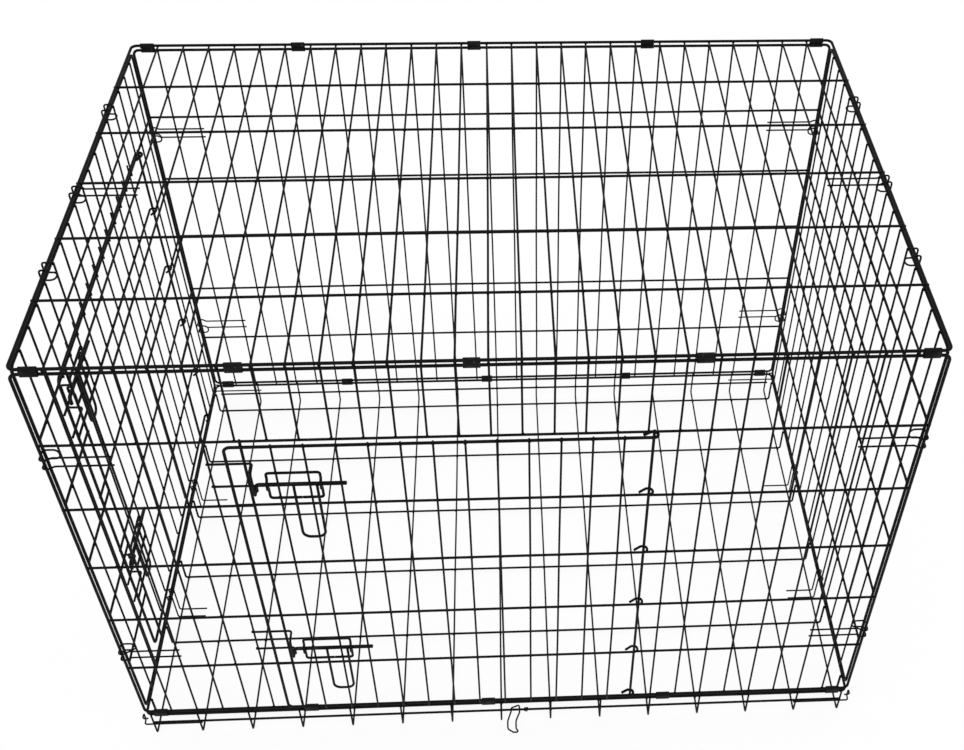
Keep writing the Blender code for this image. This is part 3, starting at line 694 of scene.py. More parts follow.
@dataclass
class Weldment:
    """Wires, welds and pressed parts of one piece, gathered in one mesh."""

    shop: Shop
    name: str
    finish: Finish
    welds: list[tuple[Vector, Vector]] = field(default_factory=list)
    banks: int = 0

    def __post_init__(self) -> None:
        """Start an empty mesh."""
        self.gathered = bmesh.new()

    def _gather(self, mesh: bpy.types.Mesh) -> None:
        """Take in a mesh, which is used up."""
        self.gathered.from_mesh(mesh)
        bpy.data.meshes.remove(mesh)

    def wire(
        self,
        gauge: Gauge,
        corners: Sequence[Corner],
        count: int = 1,
        step: Vector = STILL,
        sway: float = 0.0,
        way: Vector = Z,
        closed: bool = False,
    ) -> None:
        """Add a wire, or a bank of equal wires.

        Args:
            gauge: The wire's size.
            corners: Points of the first wire, each with the radius of its bend.
            count: How many wires there are.
            step: From one wire to the next.
            sway: How far the wires wander from their line.
            way: The direction in which they wander.
            closed: Whether it is a closed loop.
        """
        path = cut_wire(corners, gauge, closed)
        edges = [(i, i + 1) for i in range(len(path) - 1)]
        if closed:
            edges.append((len(path) - 1, 0))
        mesh = bpy.data.meshes.new("path")
        mesh.from_pydata([point for point, _ in path], edges, [])
        gauges = mesh.attributes.new("gauge", "FLOAT", "POINT")
        gauges.data.foreach_set("value", [radius for _, radius in path])
        self.banks += 1
        inputs = {
            "Count": count, "Step": tuple(step), "Sway": sway, "Sway Way": tuple(way),
            "Flats": gauge.flats, "Seed": float(self.banks), "Coat": self.finish.material(),
        }
        self._gather(run_tree(self.shop.wire_bank, mesh, inputs))

    def weld(self, side: Side, bead: Bead, s: float, t: float, n: float) -> None:
        """Remember a weld bead at a place of a side."""
        self.welds.append((side.at(s, t, n), side.spread(*bead.value)))

    def set_shapes(
        self,
        shape: bpy.types.Object,
        points: Sequence[Vector],
        spreads: Sequence[Vector],
        turns: Sequence[Vector],
        chance: tuple[float, float] = (1.0, 1.0),
    ) -> None:
        """Set copies of a shape on points.

        Args:
            shape: The object to copy.
            points: Where the copies go.
            spreads: Their sizes along their own axes.
            turns: Their Euler angles.
            chance: Least and most chance factor on the sizes.
        """
        mesh = bpy.data.meshes.new("points")
        mesh.from_pydata(list(points), [], [])
        for name, values in (("spread", spreads), ("turn", turns)):
            layer = mesh.attributes.new(name, "FLOAT_VECTOR", "POINT")
            layer.data.foreach_set("vector", [number for value in values for number in value])
        inputs = {
            "Shape": shape, "Least": chance[0], "Most": chance[1], "Seed": len(points),
            "Coat": self.finish.material(),
        }
        self._gather(run_tree(self.shop.set_on_points, mesh, inputs))

    def done(self, body: str, nodes: Sequence[str]) -> None:
        """Make the piece, put it on its body and let it stand for its CAD nodes.

        Args:
            body: The CAD body that it rides on.
            nodes: The CAD nodes that it replaces.
        """
        if self.welds:
            points, spreads = zip(*self.welds)
            self.set_shapes(self.shop.bead, points, spreads, [STILL] * len(points), BEAD_CHANCE)
        bmesh.ops.recalc_face_normals(self.gathered, faces=self.gathered.faces)
        mesh = bpy.data.meshes.new(self.name)
        self.gathered.to_mesh(mesh)
        self.gathered.free()
        mesh.shade_smooth()
        mesh.set_sharp_from_angle(angle=SHARP_ANGLE)
        mesh.materials.clear()
        mesh.materials.append(self.finish.material())
        piece = bpy.data.objects.new(self.name, mesh)
        bpy.context.scene.collection.objects.link(piece)
        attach(piece, body)
        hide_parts(*nodes)
        log.info("%s: %d faces on %s", self.name, len(mesh.polygons), body)


@dataclass(kw_only=True)
class Piece:
    """A visible piece of the crate, the body that it rides on and the nodes that it stands for."""

    name: str
    body: str = "crate"
    nodes: list[str] = field(default_factory=list)
    finish: Finish = WIRE_COAT
    made: Weldment = field(init=False)

    def build(self, shop: Shop) -> None:
        """Make the piece.

        Args:
            shop: The trees and shapes to make it with.
        """
        self.made = Weldment(shop, self.name, self.finish)
        self.lay()
        self.made.done(self.body, self.nodes)

    def lay(self) -> None:
        """Add the piece's wires, beads and pressed parts."""
        raise NotImplementedError


@dataclass(frozen=True)
class Run:
    """Equal straight wires side by side: the reach of each, and the places that they stand at."""

    start: float
    end: float
    first: float
    pitch: float
    count: int

    def places(self) -> list[float]:
        """Place of each wire."""
        return [self.first + self.pitch * k for k in range(self.count)]

    def meets(self, reach: float) -> bool:
        """Whether a wire that crosses at that place of the run's reach meets it."""
        return self.start - SAME_POINT <= reach <= self.end + SAME_POINT


@dataclass(kw_only=True)
class MeshPanel(Piece):
    """Panel of rows and thinner columns, welded inside and behind a closed edge rod."""

    side: Side
    span: float = LENGTH
    margin: float = 0.0
    pitch: float = COLUMN_PITCH
    foot: float = PANEL_FOOT
    head: float = PANEL_HEAD
    row_overhang: float = 0.0
    column_overhang: float = 0.0015
    sway: float = 0.0005

    @property
    def row_pitch(self) -> float:
        """Distance between rows."""
        return (self.head - self.foot) / ROW_BAYS

    @property
    def bays(self) -> int:
        """Number of bays between columns."""
        return round(self.span / self.pitch)

    def column_runs(self) -> list[Run]:
        """Columns from rod to rod.

        Returns:
            One run.
        """
        pitch = self.span / self.bays
        foot = self.foot - self.column_overhang
        return [Run(foot, self.head + self.column_overhang, pitch, pitch, self.bays - 1)]

    def row_runs(self) -> list[Run]:
        """Rows from end to end, the lowest first.

        Returns:
            One run.
        """
        left = self.margin - self.row_overhang
        right = self.span - self.margin + self.row_overhang
        return [Run(left, right, self.foot + self.row_pitch, self.row_pitch, ROW_BAYS - 1)]

    def lay(self) -> None:
        """Add the edge rod, the rows and columns, and their beads."""
        side = self.side
        hoop = side.hoop(self.margin, self.span - self.margin, self.foot, self.head)
        self.made.wire(Gauge.ROD, hoop, closed=True)
        for run in self.row_runs():
            ends = side.route((run.start, run.first, ROW_LAYER), (run.end, run.first, ROW_LAYER))
            self.made.wire(Gauge.ROW, ends, run.count, side.up * run.pitch, self.sway, side.up)
        for run in self.column_runs():
            ends = side.route((run.first, run.start, COLUMN_LAYER), (run.first, run.end, COLUMN_LAYER))
            step = side.along * run.pitch
            self.made.wire(Gauge.COLUMN, ends, run.count, step, self.sway, side.along)
        self.lay_welds()

    def lay_welds(self) -> None:
        """Add a bead wherever two wires cross."""
        layer = COLUMN_FACE - SINK / 2
        for columns in self.column_runs():
            for place in columns.places():
                for rows in self.row_runs():
                    for height in rows.places():
                        if rows.meets(place) and columns.meets(height):
                            self.made.weld(self.side, Bead.ON_ROW, place, height, layer)
                for height in (self.foot, self.head):
                    if columns.meets(height):
                        self.made.weld(self.side, Bead.ON_ROD, place, height, layer)
        for rows in self.row_runs():
            for height in rows.places():
                for end in (self.margin, self.span - self.margin):
                    if rows.meets(end):
                        self.made.weld(self.side, Bead.ROW_END, end, height, ROW_LAYER)


@dataclass(frozen=True)
class DoorFit:
    """Where a door and its bolts sit in a panel, measured along the panel's side."""

    latch_rod: float
    hinge: float
    first_column: float
    last_column: float
    lap: float = 0.0198
    drop: float = 0.0050
    rise: float = 0.0075
    upper_bolt_drop: float = 0.0590
    lower_bolt_rise: float = 0.1629

    @property
    def opening(self) -> float:
        """Place of the opening's latch upright."""
        return self.latch_rod + self.lap

    @property
    def foot(self) -> float:
        """Height of the door's lower rod."""
        return PANEL_FOOT + self.rise

    @property
    def head(self) -> float:
        """Height of the door's upper rod."""
        return PANEL_HEAD - PANEL_ROW_PITCH - self.drop

    def bolt_heights(self) -> list[float]:
        """Heights of the upper and the lower bolt."""
        return [self.head - self.upper_bolt_drop, self.foot + self.lower_bolt_rise]


FRONT_FIT = DoorFit(latch_rod=0.2151, hinge=0.73025, first_column=0.0566, last_column=0.0361)
END_FIT = DoorFit(latch_rod=0.1163, hinge=0.6147, first_column=0.0640, last_column=0.0394)


@dataclass(kw_only=True)
class DoorPanel(MeshPanel):
    """Panel with a door opening between two uprights, and the keepers of the door's bolts."""

    fit: DoorFit
    upright_overhang: float = 0.003
    keeper_tail: float = 0.0270
    keeper_bow: float = 0.0285
    keeper_rise: float = 0.0245
    keeper_drop: float = 0.0160

    def column_runs(self) -> list[Run]:
        """Columns left of the opening, above it and right of it.

        Returns:
            The three runs.
        """
        pitch = self.span / self.bays
        foot = self.foot - self.column_overhang
        head = self.head + self.column_overhang
        over = self.head - self.row_pitch - self.column_overhang
        places = [pitch * k for k in range(1, self.bays)]
        left = [p for p in places if p <= self.fit.opening - self.pitch / 2]
        right = [p for p in places if p >= self.fit.hinge]
        short = [p for p in places if p not in left and p not in right]
        groups = ((foot, left), (over, short), (foot, right))
        return [Run(low, head, group[0], pitch, len(group)) for low, group in groups]

    def row_runs(self) -> list[Run]:
        """The row over the opening, and the rows on both sides of it.

        Returns:
            The three runs.
        """
        left = self.margin
        right = self.span - self.margin
        low = self.foot + self.row_pitch
        return [
            Run(left, right, self.head - self.row_pitch, self.row_pitch, 1),
            Run(left, self.fit.opening, low, self.row_pitch, ROW_BAYS - 2),
            Run(self.fit.hinge, right, low, self.row_pitch, ROW_BAYS - 2),
        ]

    def lay(self) -> None:
        """Add the mesh, the uprights and the keepers."""
        super().lay()
        top_row = self.head - self.row_pitch
        for place in (self.fit.opening, self.fit.hinge):
            ends = self.side.route((place, self.foot, 0), (place, top_row + self.upright_overhang, 0))
            self.made.wire(Gauge.UPRIGHT, ends)
            self.made.weld(self.side, Bead.UPRIGHT, place, self.foot, 0)
            self.made.weld(self.side, Bead.UPRIGHT, place, top_row, ROW_LAYER)
            for k in range(1, ROW_BAYS - 1):
                self.made.weld(self.side, Bead.UPRIGHT, place, self.foot + self.row_pitch * k, ROW_LAYER)
        for height in self.fit.bolt_heights():
            self.lay_keeper(height)

    def lay_keeper(self, height: float) -> None:
        """Add a hairpin whose bow stands out over a bolt's end.

        Args:
            height: The bolt's height.
        """
        tail = self.fit.latch_rod - self.keeper_tail
        bow = self.fit.latch_rod + self.keeper_bow
        head = height + self.keeper_rise
        foot = height - self.keeper_drop
        corners = self.side.route(
            (tail, head, KEEPER_LAYER),
            (bow, head, KEEPER_LAYER, BEND_RADIUS),
            (bow, head, ARCH_LAYER, BEND_RADIUS),
            (bow, foot, ARCH_LAYER, BEND_RADIUS),
            (bow, foot, KEEPER_LAYER, BEND_RADIUS),
            (tail, foot, KEEPER_LAYER),
        )
        self.made.wire(Gauge.KEEPER, corners)
        for level in (head, foot):
            self.made.weld(self.side, Bead.KEEPER, self.fit.opening, level, KEEPER_LAYER)
            for columns in self.column_runs():
                for place in columns.places():
                    if tail < place < bow and columns.meets(level):
                        self.made.weld(self.side, Bead.KEEPER, place, level, COLUMN_FACE)


@dataclass(kw_only=True)
class FloorBasket(Piece):
    """Floor whose wires turn up at their ends to the edge rod, with a mid-lip wire back and front."""

    wire_pitch: float = 0.0762
    end_inset: float = 0.0075
    rows: int = 6
    row_margin: float = 0.0254
    overhang: float = 0.0015
    sway: float = 0.0005
    lip_sway: float = 0.0003
    binding_place: float = 0.5715
    binding_turns: float = 2.6
    binding_pitch: float = 0.0020
    binding_steps: int = 12

    def row_places(self) -> list[float]:
        """Places of the long wires from the front."""
        step = (DEPTH - 2 * self.row_margin) / (self.rows - 1)
        return [self.row_margin + step * k for k in range(self.rows)]

    def cross_places(self) -> list[float]:
        """Places of the cross wires from the left: an end one, those at a pitch, and an end one.

        Returns:
            The places.
        """
        bays = round(LENGTH / self.wire_pitch)
        inner = [LENGTH * k / bays for k in range(1, bays)]
        return [self.end_inset, *inner, LENGTH - self.end_inset]

    def upturned(self, side: Side, start: float, end: float, low: float, inward: float) -> list[Corner]:
        """Corners of a floor wire that turns up at both ends.

        Args:
            side: The side that the wire runs along.
            start: Place of its first end.
            end: Place of its other end.
            low: Its height.
            inward: How far in from the side it lies.

        Returns:
            The corners.
        """
        top = LIP_HEIGHT + self.overhang
        return side.route(
            (start, top, -inward),
            (start, low, -inward, BEND_RADIUS),
            (end, low, -inward, BEND_RADIUS),
            (end, top, -inward),
        )

    def lay(self) -> None:
        """Add the edge rod, the wires, their beads and the binding."""
        self.made.wire(Gauge.ROD, FLOOR_SIDE.hoop(0, LENGTH, 0, DEPTH, LIP_HEIGHT), closed=True)
        out = Gauge.ROD.radius + Gauge.COLUMN.radius - SINK
        places = self.cross_places()
        for place, count, step in (
            (places[0], 2, places[-1] - places[0]),
            (places[1], len(places) - 2, places[2] - places[1]),
        ):
            cross = self.upturned(LEFT_SIDE, -out, DEPTH + out, Gauge.COLUMN.radius, place)
            self.made.wire(Gauge.COLUMN, cross, count, X * step, self.sway, X)
        inset = Gauge.ROD.radius + Gauge.ROW.radius - SINK
        rows = self.row_places()
        low = 3 * Gauge.COLUMN.radius + Gauge.ROW.radius - SINK
        long = self.upturned(FRONT_SIDE, inset, LENGTH - inset, low, rows[0])
        self.made.wire(Gauge.ROW, long, self.rows, Y * (rows[1] - rows[0]), self.sway, Y)
        end = self.end_inset - Gauge.COLUMN.radius - self.overhang
        lip = FLOOR_SIDE.route((end, 0, MID_LIP), (LENGTH - end, 0, MID_LIP))
        self.made.wire(Gauge.ROW, lip, 2, Y * DEPTH, self.lip_sway, Z)
        self.lay_welds()
        self.lay_binding()

    def lay_welds(self) -> None:
        """Add a bead wherever two wires cross."""
        for place in self.cross_places():
            for row in self.row_places():
                self.made.weld(FLOOR_SIDE, Bead.ON_ROW, place, row, 2 * Gauge.COLUMN.radius)
            for depth in (-Gauge.ROW.radius, DEPTH + Gauge.ROW.radius):
                for height in (LIP_HEIGHT, MID_LIP):
                    self.made.weld(FLOOR_SIDE, Bead.LIP, place, depth, height)
        for row in self.row_places():
            for end in (Gauge.ROD.radius, LENGTH - Gauge.ROD.radius):
                self.made.weld(FLOOR_SIDE, Bead.LIP_END, end, row, LIP_HEIGHT)

    def lay_binding(self) -> None:
        """Add the thin wire wound round the front mid-lip wire beside the pan stop."""
        around = Gauge.ROW.radius + Gauge.BINDING.radius - PLAY / 3
        steps = round(self.binding_turns * self.binding_steps)
        length = self.binding_turns * self.binding_pitch
        places = []
        for k in range(steps + 1):
            angle = 2 * math.pi * self.binding_turns * k / steps
            along = self.binding_place - length / 2 + length * k / steps
            places.append((along, MID_LIP + around * math.sin(angle), around * math.cos(angle)))
        self.made.wire(Gauge.BINDING, FRONT_SIDE.route(*places))


@dataclass(kw_only=True)
class Door(Piece):
    """Door whose rod and rows curl round the hinge upright, with the loops its bolts slide in."""

    side: Side
    fit: DoorFit
    pitch: float = COLUMN_PITCH
    head_overhang: float = 0.0070
    foot_overhang: float = 0.0015
    curl_tail: float = 0.0130
    sway: float = 0.0004
    guide_start: float = 0.0450
    guide_width: float = 0.0650
    guide_rise: float = 0.0190
    guide_drop: float = 0.0262
    guide_arch: float = 0.0040
    guide_spread: float = 0.0080
    guide_split: float = 0.6

    def row_heights(self) -> list[float]:
        """Heights of the rows, from the top one down."""
        return [self.fit.foot + PANEL_ROW_PITCH * k for k in range(ROW_BAYS - 2, 0, -1)]

    def column_places(self) -> list[float]:
        """Places of the columns.

        Returns:
            The places from the latch to the hinge.
        """
        first = self.fit.latch_rod + self.fit.first_column
        reach = self.fit.hinge - self.fit.last_column - first
        gaps = round(reach / self.pitch)
        return [first + reach * k / gaps for k in range(gaps + 1)]

    def curl(self, height: float, layer: float, gauge: Gauge) -> list[Corner]:
        """Corners of a wire's curl round the hinge upright.

        Args:
            height: The wire's height.
            layer: Its distance out from the upright.
            gauge: Its size.

        Returns:
            Corners from the free end to the door's plane.
        """
        hinge = self.fit.hinge
        return self.side.route(
            (hinge - self.curl_tail, height, layer - 2 * gauge.radius - 2 * PLAY),
            (hinge - BEND_RADIUS, height, -DOOR_LAYER, BEND_RADIUS),
            (hinge + DOOR_LAYER, height, -DOOR_LAYER, DOOR_LAYER),
            (hinge + DOOR_LAYER, height, layer, DOOR_LAYER),
        )

    def lay(self) -> None:
        """Add the three-sided rod, the rows, the columns, the guides and the beads."""
        side = self.side
        fit = self.fit
        latch = fit.latch_rod
        rod = self.curl(fit.head, DOOR_LAYER, Gauge.ROD)
        for height in (fit.head, fit.foot):
            rod.extend(side.route((latch, height, DOOR_LAYER, CORNER_RADIUS)))
        rod.extend(reversed(self.curl(fit.foot, DOOR_LAYER, Gauge.ROD)))
        self.made.wire(Gauge.ROD, rod)
        heights = self.row_heights()
        row = self.curl(heights[0], DOOR_ROW_LAYER, Gauge.ROW)
        row.extend(side.route((latch, heights[0], DOOR_ROW_LAYER)))
        self.made.wire(Gauge.ROW, row, len(heights), Z * -PANEL_ROW_PITCH, self.sway, Z)
        places = self.column_places()
        column = side.route(
            (places[0], fit.foot - self.foot_overhang, DOOR_COLUMN_LAYER),
            (places[0], fit.head + self.head_overhang, DOOR_COLUMN_LAYER),
        )
        step = side.along * (places[1] - places[0])
        self.made.wire(Gauge.COLUMN, column, len(places), step, self.sway, side.along)
        for height in fit.bolt_heights():
            self.lay_guide(height)
        self.lay_welds()

    def lay_guide(self, height: float) -> None:
        """Add a loop that a bolt slides in.

        Args:
            height: The bolt's height.
        """
        start = self.fit.latch_rod + self.guide_start
        end = start + self.guide_width
        split = start + self.guide_width * self.guide_split
        head = height + self.guide_rise
        foot = height - self.guide_drop
        arch = [
            (height - self.guide_spread, GUIDE_LAYER, BEND_RADIUS / 2),
            (height - self.guide_arch, ARCH_LAYER, BEND_RADIUS / 2),
            (height + self.guide_arch, ARCH_LAYER, BEND_RADIUS / 2),
            (height + self.guide_spread, GUIDE_LAYER, BEND_RADIUS / 2),
        ]
        corners = self.side.route(
            (split + PLAY, foot, GUIDE_LAYER),
            (end, foot, GUIDE_LAYER, BEND_RADIUS),
            *((end, *corner) for corner in arch),
            (end, head, GUIDE_LAYER, BEND_RADIUS),
            (start, head, GUIDE_LAYER, BEND_RADIUS),
            *((start, *corner) for corner in reversed(arch)),
            (start, foot, GUIDE_LAYER, BEND_RADIUS),
            (split, foot, GUIDE_LAYER),
        )
        self.made.wire(Gauge.GUIDE, corners)
        for place in self.column_places():
            if start < place < end:
                for level in (head, foot):
                    self.made.weld(self.side, Bead.GUIDE, place, level, DOOR_FACE)

    def lay_welds(self) -> None:
        """Add a bead wherever two wires cross."""
        layer = DOOR_COLUMN_LAYER - Gauge.COLUMN.radius + SINK / 2
        for place in self.column_places():
            for height in self.row_heights():
                self.made.weld(self.side, Bead.ON_ROW, place, height, layer)
            for height in (self.fit.head, self.fit.foot):
                self.made.weld(self.side, Bead.ON_ROD, place, height, layer)
        for height in self.row_heights():
            self.made.weld(self.side, Bead.DOOR_ROW_END, self.fit.latch_rod, height, DOOR_ROW_LAYER)


@dataclass(kw_only=True)
class SlideBolt(Piece):
    """Round bolt with a bent toe and a welded U handle, drawn back from its keeper."""

    finish: Finish = BOLT_COAT
    side: Side
    latch_rod: float
    height: float
    start: float = 0.0084
    end: float = 0.1189
    travel: float = 0.0220
    toe: float = 0.0120
    bend: float = 0.0045
    handle_start: float = 0.0549
    handle_width: float = 0.0284
    handle_length: float = 0.0960
    handle_radius: float = 0.0100

    def lay(self) -> None:
        """Add the bar, the handle and their beads."""
        height = self.height
        drawn = self.latch_rod + self.travel
        bar = self.side.route(
            (drawn + self.start, height - self.toe, BOLT_LAYER),
            (drawn + self.start, height, BOLT_LAYER, self.bend),
            (drawn + self.end, height, BOLT_LAYER),
        )
        self.made.wire(Gauge.BOLT, bar)
        near = drawn + self.handle_start
        far = near + self.handle_width
        top = height + Gauge.HANDLE.radius
        low = height - self.handle_length
        handle = self.side.route(
            (near, top, HANDLE_LAYER),
            (near, low, HANDLE_LAYER, self.handle_radius),
            (far, low, HANDLE_LAYER, self.handle_radius),
            (far, top, HANDLE_LAYER),
        )
        self.made.wire(Gauge.HANDLE, handle)
        for place in (near, far):
            self.made.weld(self.side, Bead.HANDLE, place, height, BOLT_LAYER + Gauge.BOLT.radius)


@dataclass(kw_only=True)
class HingeClips(Piece):
    """Pressed sheet sleeves that wrap two paired rods, with their seams facing into the crate."""

    name: str = "hinge_clips"
    finish: Finish = CLIP_COAT
    length: float = 0.0200
    wall: float = 0.0011
    seam: float = 0.0012
    flats: int = 9
    end_offset: float = 0.0225
    bays: tuple[float, ...] = (6.5, 13.5, 20.5)
    waist: float = 0.0003
    edge: float = 0.00025

    def outline(self, radius: float) -> list[tuple[float, float]]:
        """Open outline of the sheet at a radius, from one lip of the seam round to the other.

        Args:
            radius: Distance from the rods' centres.

        Returns:
            Points across the rods and outward from them.
        """
        half = RAIL_PITCH / 2
        lap = [(-self.seam / 2, -radius + self.waist)]
        for centre, first in ((-half, -90), (half, 90)):
            for k in range(self.flats + 1):
                angle = math.radians(first - 180 * k / self.flats)
                lap.append((centre + radius * math.cos(angle), radius * math.sin(angle)))
            if centre < 0:
                lap.append((0.0, radius - self.waist))
        lap.append((self.seam / 2, -radius + self.waist))
        return lap

    def sleeve(self) -> bpy.types.Object:
        """Make one sleeve along X, with its rods one over the other and its seam towards +Y.

        Returns:
            The sleeve, at the origin.
        """
        shell = bmesh.new()
        inner = Gauge.ROD.radius + PLAY
        sheet = self.outline(inner + self.wall)
        outer = len(sheet)
        sheet.extend(reversed(self.outline(inner)))
        count = len(sheet)
        half = self.length / 2
        loops = []
        for along, shrink in (
            (-half, self.edge), (self.edge - half, 0.0), (half - self.edge, 0.0), (half, self.edge),
        ):
            loop = []
            for k, (rise, out) in enumerate(sheet):
                centre = max(-RAIL_PITCH / 2, min(RAIL_PITCH / 2, rise))
                way = Vector((0, -out, rise - centre)).normalized()
                inward = -shrink if k < outer else shrink
                loop.append(shell.verts.new(Vector((along, -out, rise)) + way * inward))
            loops.append(loop)
        for near, far in zip(loops, loops[1:]):
            for k in range(count):
                beside = (k + 1) % count
                shell.faces.new((near[k], near[beside], far[beside], far[k]))
        for loop in (loops[0], loops[-1]):
            for k in range(outer - 1):
                shell.faces.new((loop[k], loop[k + 1], loop[count - 2 - k], loop[count - 1 - k]))
        bmesh.ops.recalc_face_normals(shell, faces=shell.faces)
        return Shop.shape("sleeve", shell)

    def lay(self) -> None:
        """Set the sleeves along the front and back of the top and the floor."""
        places = [self.end_offset, *(bay * COLUMN_PITCH for bay in self.bays), LENGTH - self.end_offset]
        points = []
        turns = []
        for level, height in (("top", HEIGHT - RAIL_PITCH / 2), ("floor", LIP_HEIGHT + RAIL_PITCH / 2)):
            for where, side, turn in (("front", FRONT_SIDE, 0.0), ("back", BACK_SIDE, math.pi)):
                for number, place in enumerate(places, start=1):
                    points.append(side.at(place, height))
                    turns.append(Z * turn)
                    self.nodes.append(f"{level}_{where}_clip_{number}")
        self.made.set_shapes(self.sleeve(), points, [Vector((1, 1, 1))] * len(points), turns)


@dataclass(kw_only=True)
class Hooks(Piece):
    """Wire hooks from a panel's face round its edge, behind an end panel's rod."""

    finish: Finish = HOOK_COAT
    rod_depth: float
    reach: float
    bulge: float
    spread: float = 0.0150
    leg: float = 0.0810
    loop_bend: float = 0.0065
    ramp_end: float = 3 * BEND_RADIUS
    play: float = 0.0010

    def lay_hook(self, edge: Side, middle: float, leg: float) -> None:
        """Add one hook.

        Args:
            edge: The panel's edge.
            middle: Place of the hook along the edge.
            leg: How far its legs reach over the face.
        """
        under = -self.rod_depth - Gauge.ROD.radius - self.play - Gauge.HOOK.radius
        start = [(leg, HOOK_OVER_ROD, 0.0)]
        if leg > self.ramp_end:
            start = [
                (leg, HOOK_LAYER, 0.0),
                (self.ramp_end, HOOK_LAYER, BEND_RADIUS),
                (BEND_RADIUS, HOOK_OVER_ROD, BEND_RADIUS / 2),
            ]
        turn = [
            (-self.bulge, HOOK_OVER_ROD, BEND_RADIUS),
            (-self.bulge, under, BEND_RADIUS),
            (self.reach, under, self.loop_bend),
        ]
        self.made.wire(Gauge.HOOK, hairpin(edge, middle, self.spread, start + turn))
        crossed = [COLUMN_PITCH * k for k in range(1, 1 + int(leg / COLUMN_PITCH))]
        layer = COLUMN_FACE if crossed else Gauge.ROD.radius + PLAY / 2
        for inward in crossed or [0.0]:
            for place in (middle - self.spread / 2, middle + self.spread / 2):
                self.made.weld(edge, Bead.HOOK, inward, place, layer)


@dataclass(kw_only=True)
class CornerHooks(Hooks):
    """Two hooks at each upright edge of the front and back."""

    name: str = "corner_hooks"
    rod_depth: float = END_MARGIN
    reach: float = 0.0150
    bulge: float = HOOK_OVER_ROD
    upper_drop: float = 0.1455
    lower_rise: float = 0.1490

    def lay(self) -> None:
        """Add the eight hooks."""
        heights = {"upper": PANEL_HEAD - self.upper_drop, "lower": PANEL_FOOT + self.lower_rise}
        for end, sign in ENDS:
            for where, out in FACES:
                for level, height in heights.items():
                    self.lay_hook(upright_edge(sign, out), height, self.leg)
                    self.nodes.append(f"{where}_{end}_{level}_hook")


@dataclass(kw_only=True)
class TopHooks(Hooks):
    """Three hooks at each end of the top: a long one, and one on the edge rod to each side."""

    name: str = "top_hooks"
    rod_depth: float = RAIL_PITCH
    reach: float = 0.0105
    bulge: float = 0.0058
    root: float = 0.0060
    bays: tuple[tuple[str, float], ...] = (("front", 4.5), ("middle", 8.5), ("back", 13.5))

    def lay(self) -> None:
        """Add the six hooks."""
        for end, sign in ENDS:
            for where, bay in self.bays:
                leg = self.leg if where == "middle" else self.root
                self.lay_hook(level_edge(sign, HEIGHT), bay * END_BAY, leg)
                self.nodes.append(f"top_{end}_{where}_hook")


@dataclass(kw_only=True)
class HingeRings(Piece):
    """Hairpin rings from the floor round the lower rods of the end panels, which they carry."""

    name: str = "hinge_rings"
    finish: Finish = HOOK_COAT
    spread: float = 0.0150
    leg: float = 0.0480
    play: float = 0.0005
    bays: tuple[tuple[str, float], ...] = (("front", 5.5), ("back", 11.5))

    def lay(self) -> None:
        """Add the four rings."""
        around = Gauge.ROD.radius + self.play + Gauge.HOOK.radius
        floor = 2 * Gauge.COLUMN.radius + Gauge.HOOK.radius - SINK / 2
        leg = [
            (self.leg, floor, 0.0),
            (around, floor, BEND_RADIUS),
            (around, PANEL_FOOT + around, around),
            (-around, PANEL_FOOT + around, around),
            (-around, LIP_HEIGHT - Gauge.ROD.radius, BEND_RADIUS),
        ]
        for end, sign in ENDS:
            for where, bay in self.bays:
                ring = hairpin(level_edge(sign, 0), bay * END_BAY, self.spread, leg)
                self.made.wire(Gauge.HOOK, ring)
                self.nodes.append(f"floor_{end}_{where}_ring")


@dataclass(kw_only=True)
class FloorEyes(Piece):
    """Wires on the lip's outer side, each curled into an eye round a corner of the floor."""

    name: str = "floor_eyes"
    finish: Finish = HOOK_COAT
    leg: float = 0.0810
    height: float = 0.0290
    rise: float = 0.0160
    bend: float = 0.0032

    def lay(self) -> None:
        """Add the four eyes."""
        layer = Gauge.ROD.radius + 2 * Gauge.COLUMN.radius + Gauge.HOOK.radius - 2 * SINK
        head = self.height + self.rise
        places = (
            (self.leg, self.height, layer),
            (-layer, self.height, layer, self.bend),
            (-layer, self.height, -self.bend, self.bend),
            (-layer, head, -self.bend, self.bend),
            (-layer, head, layer, self.bend),
            (self.bend, head, layer),
        )
        for end, sign in ENDS:
            for where, out in FACES:
                self.made.wire(Gauge.HOOK, upright_edge(sign, out).route(*places))
                self.nodes.append(f"floor_{where}_{end}_eye")


